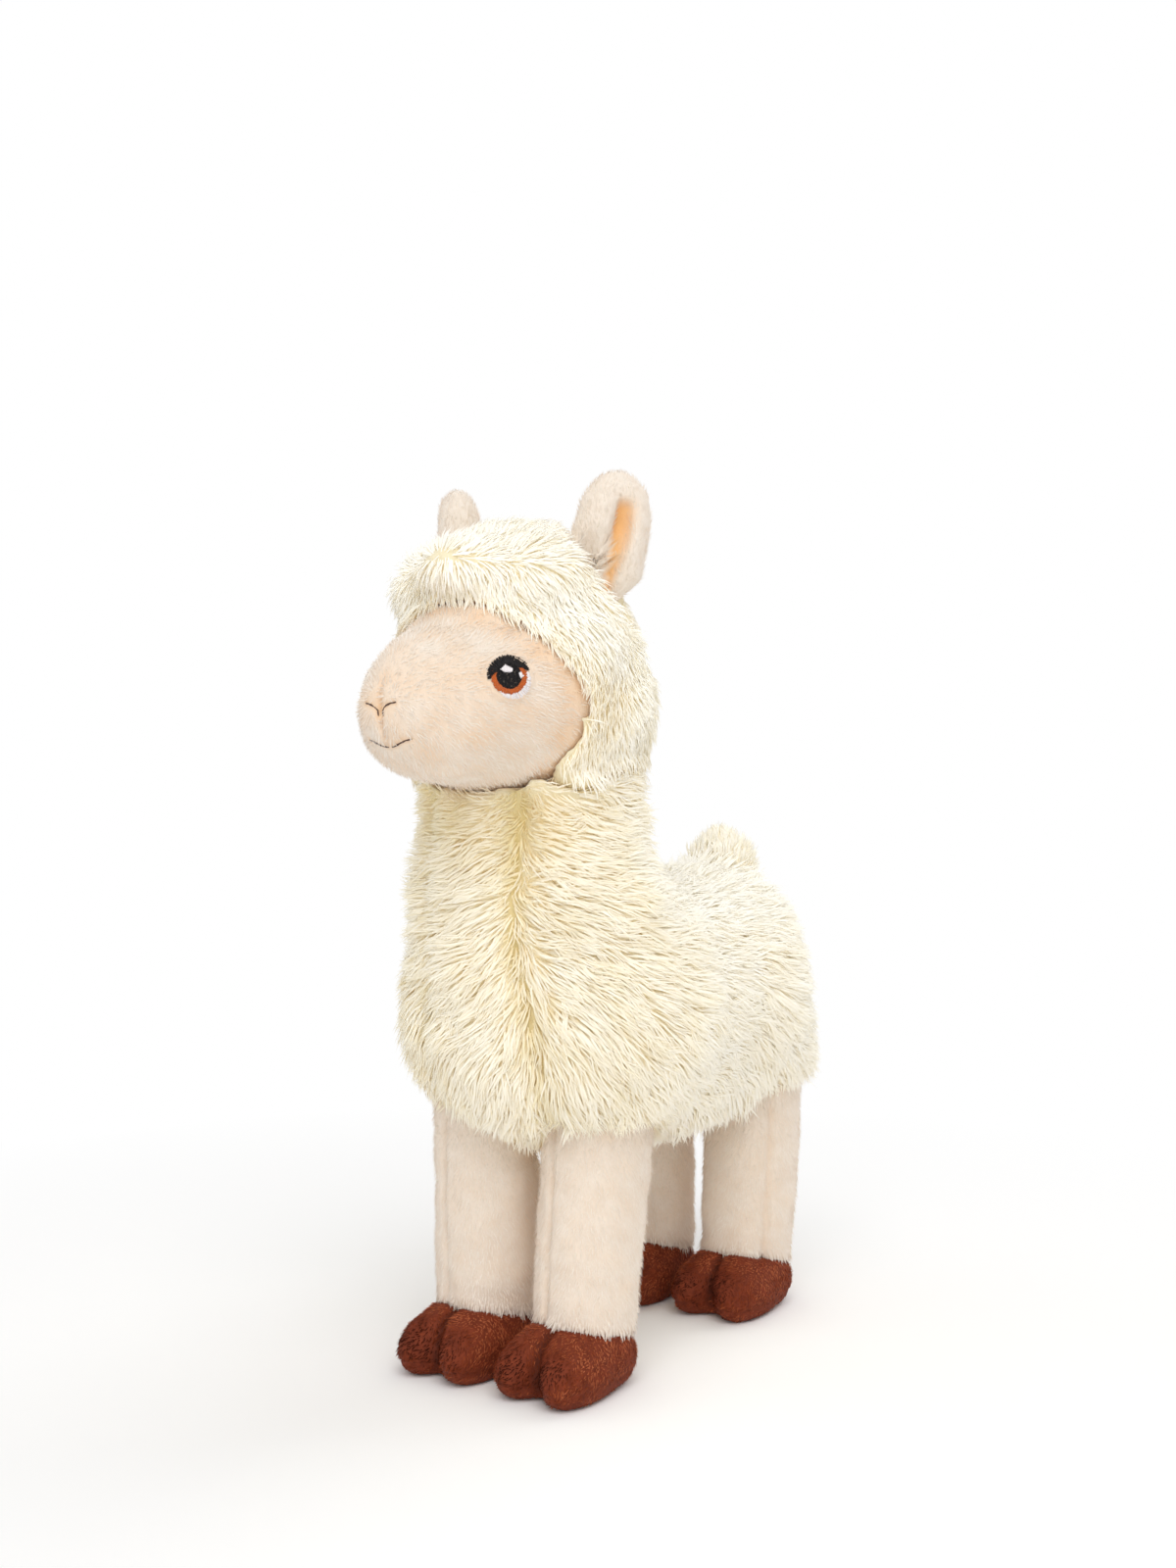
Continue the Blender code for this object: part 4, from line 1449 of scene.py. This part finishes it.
@dataclass
class Leg:
    """One leg: a padded tube with one seam down it."""

    place: LegPlace
    skin: float = 2.9 * MM
    hoof_height: float = 0.0165
    length: float = 0.072
    tuck: float = 15.0 * MM
    ankle_drop: float = 2.2 * MM
    ankle_swell: float = 0.9 * MM
    thigh_shift: float = 4.5 * MM
    seam_depth: float = 1.4 * MM
    seam_width: float = 1.1 * MM

    def build(self) -> None:
        """Makes the skin and its pile."""
        suffix, _, foot_y, _, _ = self.place.value
        fabric = Fabric(f"leg_skin_{suffix}", [f"leg_{suffix}"], self.skin)
        fabric.smooth(3)
        fabric.push(-0.5 * MM, level=True)
        rise = self.rise(fabric)
        fabric.swell(9.0, 0.7 * MM, np.maximum(smoothstep(0.06, 0.0, rise), smoothstep(0.72, 0.85, rise)))
        fabric.subdivide()
        fabric.smooth(2)
        rise = self.rise(fabric)
        ankle = fabric.band(["hoof_" + suffix], 5.0, 1.5)
        move = np.zeros((len(rise), 3))
        move[:, 2] = self.tuck * smoothstep(0.50, 0.80, rise) - self.ankle_drop * ankle
        if self.place in (LegPlace.FRONT_LEFT, LegPlace.FRONT_RIGHT):
            behind = smoothstep(-0.006, 0.014, fabric.points[:, 1] - foot_y)
            move[:, 1] = self.thigh_shift * smoothstep(0.2, 1.0, rise) * behind
        fabric.points = fabric.points + move
        fabric.push(self.ankle_swell * ankle, level=True)
        seam = self.seam(fabric.points, rise)
        points, normals = fabric.points, fabric.normals
        fabric.push(-self.seam_depth * seam + 0.25 * MM * Ripple(14 * MM, 19)(points))
        # Painted shade: deeper colour along the seam groove.
        tone = 0.22 + 0.26 * seam + 0.09 * Ripple(9 * MM, 20)(points)
        cover = np.where(np.abs(normals[:, 2]) > 0.75, 0.0, 1.0) * (0.42 + 0.58 * ankle) * (1.0 - 0.5 * seam)
        lift = 3.0 * Ripple(6 * MM, 21)(points) - 6.0 * ankle
        coat = Coat(np.zeros_like(points) - UP, tone, cover, 1.0 + 0.9 * ankle - 0.4 * seam, lift)
        fabric.finish(SHORT_BACKING, tone * 0.35)
        VELVET.grow(fabric, coat, {f"pile_leg_{suffix}": everywhere}, 22)

    def rise(self, fabric: Fabric) -> Array:
        """How far up the leg each point is, from 0 at the hoof to 1 at the body."""
        return (fabric.points[:, 2] - self.hoof_height) / self.length

    def seam(self, points: Array, rise: Array) -> Array:
        """The leg's seam.

        Args:
            points: the skin's points.
            rise: how far up the leg each was before the leg was tucked in.

        Returns:
            How deep each point lies in it, from 0 to 1.
        """
        _, side, foot_y, shift, seam_angle = self.place.value
        aside = points[:, 0] - side.value * FOOT_X
        behind = points[:, 1] - (foot_y + shift * np.clip(rise, 0, 1))
        off = (np.arctan2(aside, -behind) - math.radians(seam_angle) + math.pi) % (2 * math.pi) - math.pi
        return valley(np.abs(off) * np.hypot(aside, behind), self.seam_width) * (np.abs(off) < 1.0)


@dataclass
class Hoof:
    """One hoof: a two-toed velour upper drawn down over its sole along a low seam."""

    place: LegPlace
    skin: float = 2.1 * MM
    sole_seam: float = 4.6 * MM
    seam_depth: float = 0.45 * MM
    cleft_width: float = 1.3 * MM
    cleft_depth: float = 1.4 * MM
    toe: tuple = (6.2 * MM, -28.0 * MM, 12.0 * MM)
    toe_shade_size: float = 7.5 * MM

    def build(self) -> None:
        """Makes the padded hoof and its pile."""
        suffix, side, foot_y, _, _ = self.place.value
        leg = ["leg_" + suffix]
        fabric = Fabric(f"hoof_skin_{suffix}", [f"hoof_{suffix}", f"sole_{suffix}"], self.skin)
        fabric.smooth(3)
        fabric.push(-0.6 * MM, level=True)
        bottom = smoothstep(2.0 * MM, 0.8 * MM, fabric.points[:, 2])
        fabric.swell(12.0, 0.9 * MM, np.maximum(fabric.band(leg, 2.2, 0.8), bottom))
        fabric.subdivide()
        fabric.smooth(2)
        x, y, z = fabric.points.T
        seam = valley(z - self.sole_seam, 0.7 * MM) * smoothstep(0.75, 0.4, np.abs(fabric.normals[:, 2]))
        cleft = valley(x - side.value * FOOT_X, self.cleft_width)
        cleft = cleft * smoothstep(-6 * MM, -12 * MM, y - foot_y) * smoothstep(1 * MM, 3 * MM, z)
        fabric.push(-self.seam_depth * seam - self.cleft_depth * cleft)
        points, normals = fabric.points, fabric.normals
        x, y, z = points.T
        # Painted shade: a dark patch on each toe front stands in for the velour's direction-dependent sheen,
        # with more in the cleft and the sole seam; painted light: paler on upward faces.
        toe_x, toe_y, toe_z = self.toe
        level = np.hypot(np.abs(x - side.value * FOOT_X) - toe_x, y - foot_y - toe_y)
        toe_shade = valley(np.hypot(level, z - toe_z), self.toe_shade_size)
        tone = 0.16 + 1.10 * toe_shade + 0.16 * Ripple(12 * MM, 23 + len(suffix))(points)
        tone = tone - 0.10 * smoothstep(0.2, 0.9, normals[:, 2]) + 0.35 * cleft + 0.25 * seam
        cover = (1.0 - fabric.pressed(leg, 1.5)) * np.where(z < 0.6 * MM, 0.0, 1.0) * (1.0 - 0.6 * seam)
        swirl = 0.8 * Ripple(11 * MM, 31)(points)[:, None] * np.array([1.0, 0.0, 0.0])
        nap = np.array([0.0, -1.0, -0.5]) + swirl + 0.4 * normals * LEVEL
        coat = Coat(nap, tone, cover, lift=6.0 * Ripple(7 * MM, 32)(points))
        # Painted shade: the backing darkens in the cleft.
        fabric.finish(HOOF_BACKING, 0.6 * cleft)
        VELOUR.grow(fabric, coat, {f"pile_hoof_{suffix}": lambda p: p[:, 2] > self.sole_seam}, 24)
        SOLE_VELOUR.grow(fabric, coat, {f"pile_sole_{suffix}": lambda p: p[:, 2] <= self.sole_seam}, 25)


@dataclass(frozen=True)
class StitchPlane:
    """A flat drawing plane in front of the face, drawn for the llama's left and mirrored.

    Across and up are in millimetres as seen from outside.
    """

    middle: tuple
    turn: float

    @property
    def axes(self) -> tuple[Array, Array, Array]:
        """Across, up and outward on the left side."""
        c, s = math.cos(math.radians(self.turn)), math.sin(math.radians(self.turn))
        return np.array([c, s, 0.0]), np.array([0.0, 0.0, 1.0]), np.array([s, -c, 0.0])

    def flat(self, points: Array) -> Array:
        """Points as drawn, the right half mirrored: across, up and out, in millimetres."""
        mirrored = points * np.where(points[:, :1] < 0, -1.0, 1.0) ** np.array([1, 0, 0])
        return (mirrored - np.array(self.middle)) @ np.stack(self.axes, axis=1) / MM

    def place(self, across: float, up: float) -> Array:
        """Where a drawn point lies in space, on the left side."""
        one, two, _ = self.axes
        return np.array(self.middle) + (one * across + two * up) * MM


@dataclass(frozen=True)
class EyeDrawing:
    """The outline of the embroidered eyes: where the pile gives way to stitches."""

    plane: StitchPlane
    radius: float = 6.1

    def over(self, points: Array) -> Array:
        """Where the eyes are stitched.

        Args:
            points: points of the face.

        Returns:
            How much each point lies under an eye's stitches.
        """
        across, up, out = self.plane.flat(points).T
        reach = np.hypot(across - 0.1, up + 0.1)
        return smoothstep(self.radius + 1.3, self.radius + 0.2, reach) * (out > -6.0)


@dataclass(frozen=True)
class MuzzleDrawing:
    """The stitched lines of the muzzle, as (across, up) points in millimetres."""

    plane: StitchPlane
    nostril: tuple = ((0.9, -1.9), (1.0, -0.5), (2.3, 0.7), (3.9, 1.3), (5.3, 1.5))
    mouth: tuple = ((0.7, -10.5), (2.2, -10.2), (3.9, -9.5), (5.7, -8.8), (7.4, -8.4))

    def over(self, points: Array) -> Array:
        """Where the lines are stitched.

        Args:
            points: points of the face.

        Returns:
            How much each point lies under a line.
        """
        across, up, out = self.plane.flat(points).T
        here = np.stack([across, up], axis=1)
        away = np.full(len(points), 99.0)
        for line in (self.nostril, self.mouth):
            for start, end in zip(line[:-1], line[1:]):
                a, b = np.array(start), np.array(end)
                share = np.clip((here - a) @ (b - a) / ((b - a) @ (b - a)), 0.0, 1.0)
                away = np.minimum(away, np.linalg.norm(here - a - share[:, None] * (b - a), axis=1))
        return smoothstep(1.1, 0.35, away) * (out > -12.0)


EYES = EyeDrawing(StitchPlane((0.0262, -0.0775, 0.2087), 37.0))
MUZZLE = MuzzleDrawing(StitchPlane((0.0, -0.1040, 0.1996), 0.0))


def turned(degrees: float) -> Array:
    """The matrix that turns drawn rows by an angle."""
    c, s = math.cos(math.radians(degrees)), math.sin(math.radians(degrees))
    return np.array([[c, s], [-s, c]])


@dataclass
class Embroidery:
    """The stitched eyes, nostrils and mouth, laid thread by thread on the face.

    Sizes are in millimetres and angles in degrees.
    """

    thread: float = 0.42
    step: float = 0.30
    pupil: float = 3.55
    iris: float = 5.1
    lid: float = 6.05
    lid_start: float = 20.0
    lid_span: float = 170.0
    pupil_turn: float = 14.0
    longest: float = 2.2
    under: float = 0.12
    large_glint: tuple = ((-2.5, 1.65), (-1.15, 3.3), (0.9, 2.2), (0.5, 0.85), (-1.45, 0.75))
    small_glint: tuple = ((2.5, 1.1), (3.15, 1.35), (4.05, 0.0), (3.1, -0.9))

    def build(self, face: Fabric) -> None:
        """Stitches both sides.

        Args:
            face: the fabric that the threads lie on.
        """
        tree = BVHTree.FromPolygons(face.points.tolist(), [p.vertices[:] for p in face.mesh.polygons])
        eye, muzzle = EYES.plane, MUZZLE.plane
        for side in Side:
            rng = np.random.default_rng(40)
            lid_end = self.lid_start + self.lid_span
            black = self.disc(rng) + self.arc(self.lid_start, lid_end, self.lid_inner, self.lid, 0.34, rng)
            white = self.arc(-118.0, 18.0, lambda _: self.iris - 0.3, self.iris, 0.16, rng, self.crescent)
            iris = self.arc(-208.0, 37.0, lambda _: self.pupil - 0.25, self.iris, 0.2, rng)
            glints = self.satin(self.large_glint, 78.0, 0.46) + self.satin(self.small_glint, 110.0, 0.46)
            nostril, mouth = self.backstitch(MUZZLE.nostril), self.backstitch(MUZZLE.mouth)
            for name, plane, runs, finish, nodes in (
                ("lid", eye, black, THREAD_BLACK, ["eye_black"]),
                ("iris", eye, iris, THREAD_IRIS, ["eye_iris"]),
                ("white", eye, white, THREAD_WHITE, ["eye_white"]),
                ("glint", eye, glints, THREAD_WHITE, ["eye_glint_large", "eye_glint_small"]),
                ("nostril", muzzle, nostril, THREAD_DARK, ["nostril"]),
                ("mouth", muzzle, mouth, THREAD_DARK, ["mouth"]),
            ):
                mesh = self.sewn(name, plane, runs, side, tree)
                replaced = [f"{node}_{side.word}" for node in nodes]
                placed(f"thread_{name}_{side.word}", mesh, finish, replaced)
                log.info("thread_%s_%s: %d stitches", name, side.word, len(runs))

    def lid_inner(self, angle: float) -> float:
        """The lid's inner edge at an angle, in millimetres from the eye's middle."""
        share = math.sin(math.pi * min(max((angle - self.lid_start) / self.lid_span, 0.0), 1.0))
        return self.iris - (self.iris - self.pupil + 0.35) * min(1.0, 2.0 * share)

    @staticmethod
    def crescent(share: float) -> float:
        """How far the white shows past the iris along its arc, in millimetres."""
        return 1.7 * math.sin(math.pi * share) ** 0.6

    def arc(
        self,
        start: float,
        end: float,
        inner: Callable[[float], float],
        outer: float,
        lift: float,
        rng: np.random.Generator,
        swell: Callable[[float], float] | None = None,
    ) -> list[tuple]:
        """Radial stitches along an arc.

        Args:
            start: the first angle, in degrees.
            end: the last angle.
            inner: the inner edge at an angle.
            outer: the outer edge.
            lift: how high the stitches lie on the fabric, in millimetres.
            rng: the draws.
            swell: what is added to the outer edge along the arc.

        Returns:
            Stitches as (from, to, lift, width).
        """
        count = int(math.radians(end - start) * outer / self.step)
        made = []
        for index in range(count + 1):
            share = index / count
            angle = start + (end - start) * share + rng.normal() * 0.5
            way = np.array([math.cos(math.radians(angle)), math.sin(math.radians(angle))])
            far = outer + (swell(share) if swell else 0.0) + rng.normal() * 0.10
            low = inner(angle) + rng.normal() * 0.08
            middle = (low + far) / 2.0 + rng.normal() * 0.1
            if far - low > 1.8:
                made.append((way * low, way * (middle + 0.3), lift, self.thread))
                made.append((way * (middle - 0.3), way * far, lift + 0.02, self.thread))
            else:
                made.append((way * low, way * far, lift, self.thread))
        return made

    def across(self, low: float, high: float, row: float, spin: Array, lift: float) -> tuple:
        """One stitch along a turned row, as (from, to, lift, width)."""
        return np.array([low, row]) @ spin, np.array([high, row]) @ spin, lift, self.thread

    def disc(self, rng: np.random.Generator) -> list[tuple]:
        """The pupil's stitches, in rows that step like brickwork.

        Args:
            rng: the draws.

        Returns:
            Stitches as (from, to, lift, width).
        """
        made = []
        row = -self.pupil + self.under
        spin = turned(self.pupil_turn)
        while row < self.pupil:
            half = math.sqrt(self.pupil**2 - row**2)
            place = -half
            cut = rng.uniform(0.8, self.longest)
            while place < half - 0.1:
                stop = min(half, place + cut)
                made.append(self.across(place - self.under, stop + self.under, row, spin, 0.26))
                place, cut = stop, self.longest
            row += self.step
        return made

    def satin(self, outline: Sequence, angle: float, lift: float) -> list[tuple]:
        """Parallel stitches that fill an outline.

        Args:
            outline: the outline's corners in millimetres.
            angle: the direction of the stitches, in degrees.
            lift: how high they lie on the fabric, in millimetres.

        Returns:
            Stitches as (from, to, lift, width).
        """
        spin = turned(angle)
        corners = np.array(outline) @ spin.T
        made = []
        row = corners[:, 1].min() + 0.1
        while row < corners[:, 1].max():
            hits = []
            for a, b in zip(corners, np.roll(corners, -1, axis=0)):
                if (a[1] - row) * (b[1] - row) < 0:
                    hits.append(a[0] + (b[0] - a[0]) * (row - a[1]) / (b[1] - a[1]))
            if len(hits) >= 2:
                made.append(self.across(min(hits), max(hits), row, spin, lift))
            row += self.step
        return made

    def backstitch(self, line: Sequence) -> list[tuple]:
        """Overlapping stitches along a line, thinner toward its ends.

        Args:
            line: the line's points, in millimetres.

        Returns:
            Stitches as (from, to, lift, width).
        """
        last = len(line) - 2
        made = []
        for index, (start, end) in enumerate(zip(line[:-1], line[1:])):
            a, b = np.array(start), np.array(end)
            wide = 0.62 if 0 < index < last else 0.5
            made.append((a - (b - a) * 0.18, b + (b - a) * 0.18, 0.08, wide))
        return made

    def sewn(
        self, name: str, plane: StitchPlane, runs: list[tuple], side: Side, tree: BVHTree
    ) -> bpy.types.Mesh:
        """Lays stitches on the face as one mesh.

        Args:
            name: the thread's name.
            plane: the plane that they are drawn on.
            runs: the stitches.
            side: the llama's side.
            tree: the face's surface.

        Returns:
            The mesh.
        """
        flip = np.array([side.value, 1.0, 1.0])
        out = plane.axes[2] * flip

        def land(drawn: Array, lift: float) -> Vector:
            """A drawn point on the face, raised by the lift."""
            start = plane.place(*drawn) * flip + out * 12 * MM
            hit = tree.ray_cast(Vector(start), Vector(-out))
            return hit[0] + hit[1] * lift * MM

        bm = bmesh.new()
        for start, end, lift, wide in runs:
            a, b = land(start, lift), land(end, lift)
            along = b - a
            if along.length < 0.05 * MM:
                continue
            aside = along.cross(Vector(out)).normalized()
            up = aside.cross(along).normalized()
            size = Matrix((aside * wide * 0.5 * MM, up * wide * 0.42 * MM, along * 0.5)).transposed()
            place = Matrix.Translation((a + b) / 2.0) @ size.to_4x4()
            bmesh.ops.create_uvsphere(bm, u_segments=6, v_segments=4, radius=1.0, matrix=place)
        bmesh.ops.recalc_face_normals(bm, faces=bm.faces)
        mesh = poured(bm, name)
        mesh.shade_smooth()
        return mesh


@dataclass
class Studio:
    """The floor, the lamps, the world and the camera."""

    floor_size: float = 6.0
    floor_paint: tuple = (0.97, 0.97, 0.97, 1.0)
    shadow_reach: tuple = (0.10, 0.42)
    eye: tuple = (0.3139, -0.4577, 0.1790)
    look: tuple = (-0.5664, 0.8241, 0.0)
    focal_pixels: float = 1769.0
    image_height: float = 1600.0
    sensor: float = 36.0
    world_level: float = 0.53
    world_color: tuple = (1.0, 0.99, 0.97, 1.0)
    aim: tuple = (0.0, 0.0, 0.13)
    lamps: tuple = (
        ("key_softbox", (0.55, -0.75, 1.25), 1.0, 10.5),
        ("fill_softbox", (-1.15, -0.75, 0.75), 1.2, 1.8),
        ("front_softbox", (0.75, -1.15, 0.30), 1.0, 2.8),
        ("back_softbox", (0.35, 1.2, 1.1), 1.2, 7.5),
    )

    def build(self) -> None:
        """Makes the stage and the camera."""
        self.make_floor()
        self.make_world()
        for lamp in self.lamps:
            self.make_lamp(*lamp)
        self.make_camera()

    @staticmethod
    def blended(shader: Shader, share: object, pair: Sequence[bpy.types.Node], end: str) -> None:
        """Ends a node tree in a mix of two shaders.

        Args:
            shader: the node tree.
            share: the share of the second.
            pair: the two shaders.
            end: the type of the output node.
        """
        parts = {0: share, 1: pair[0].outputs[0], 2: pair[1].outputs[0]}
        mixed = shader.node("ShaderNodeMixShader", {}, parts)
        shader.node(end, {}, {"Surface": mixed.outputs[0]})

    def make_floor(self) -> None:
        """A white floor that keeps the shadow and fades into the white backdrop."""
        bm = bmesh.new()
        bmesh.ops.create_grid(bm, x_segments=1, y_segments=1, size=self.floor_size)
        mesh = poured(bm, "floor")
        shader = Shader(bpy.data.materials.new("floor white"))
        place = shader.node("ShaderNodeTexCoord", {}, {}).outputs["Object"]
        reach = shader.node("ShaderNodeVectorMath", {"operation": "LENGTH"}, {0: place})
        far = Signal(shader, reach.outputs["Value"]).within(*self.shadow_reach)
        path = shader.node("ShaderNodeLightPath", {}, {})
        seen = Signal(shader, path.outputs["Is Camera Ray"]) * far
        paint = shader.node("ShaderNodeBsdfDiffuse", {}, {"Color": self.floor_paint})
        glow = shader.node("ShaderNodeEmission", {}, {"Color": (1, 1, 1, 1), "Strength": 1.0})
        self.blended(shader, seen, (paint, glow), "ShaderNodeOutputMaterial")
        mesh.materials.append(shader.owner)
        linked("floor", mesh)

    def make_world(self) -> None:
        """Soft light all round, with a white background for the camera."""
        shader = Shader(bpy.data.worlds.new("studio"))
        path = shader.node("ShaderNodeLightPath", {}, {})
        soft = {"Color": self.world_color, "Strength": self.world_level}
        plain = {"Color": (1.0, 1.0, 1.0, 1.0), "Strength": 1.0}
        skies = [shader.node("ShaderNodeBackground", {}, values) for values in (soft, plain)]
        self.blended(shader, path.outputs["Is Camera Ray"], skies, "ShaderNodeOutputWorld")
        bpy.context.scene.world = shader.owner

    def make_lamp(self, name: str, place: tuple, size: float, power: float) -> None:
        """A square softbox aimed at the llama.

        Args:
            name: the lamp's name.
            place: where it hangs.
            size: its side, in metres.
            power: its power, in watts.
        """
        light = bpy.data.lights.new(name, "AREA")
        light.size = size
        light.energy = power
        lamp = linked(name, light)
        lamp.location = place
        aim = Vector(self.aim) - Vector(place)
        lamp.rotation_euler = aim.to_track_quat("-Z", "Y").to_euler()

    def make_camera(self) -> None:
        """A level camera at the photograph's place and reach."""
        data = bpy.data.cameras.new("camera")
        data.sensor_width = self.sensor
        data.lens = self.focal_pixels / self.image_height * self.sensor
        data.clip_start = 0.01
        camera = linked("camera", data)
        camera.location = self.eye
        camera.rotation_euler = Vector(self.look).to_track_quat("-Z", "Y").to_euler()
        bpy.context.scene.camera = camera


def main() -> None:
    """Builds every sub-assembly in order."""
    logging.basicConfig(level=logging.INFO, format="%(name)s %(message)s")
    Studio().build()
    Torso().build()
    Tail().build()
    Hood().build()
    face = Face().build()
    Ears().build()
    for place in LegPlace:
        Leg(place).build()
        Hoof(place).build()
    Embroidery().build(face)
    bpy.context.scene.view_settings.view_transform = "Standard"
    bpy.context.scene.cycles.max_bounces = MOST_BOUNCES
    bpy.context.scene.cycles.diffuse_bounces = DIFFUSE_BOUNCES


if __name__ == "__main__":
    main()
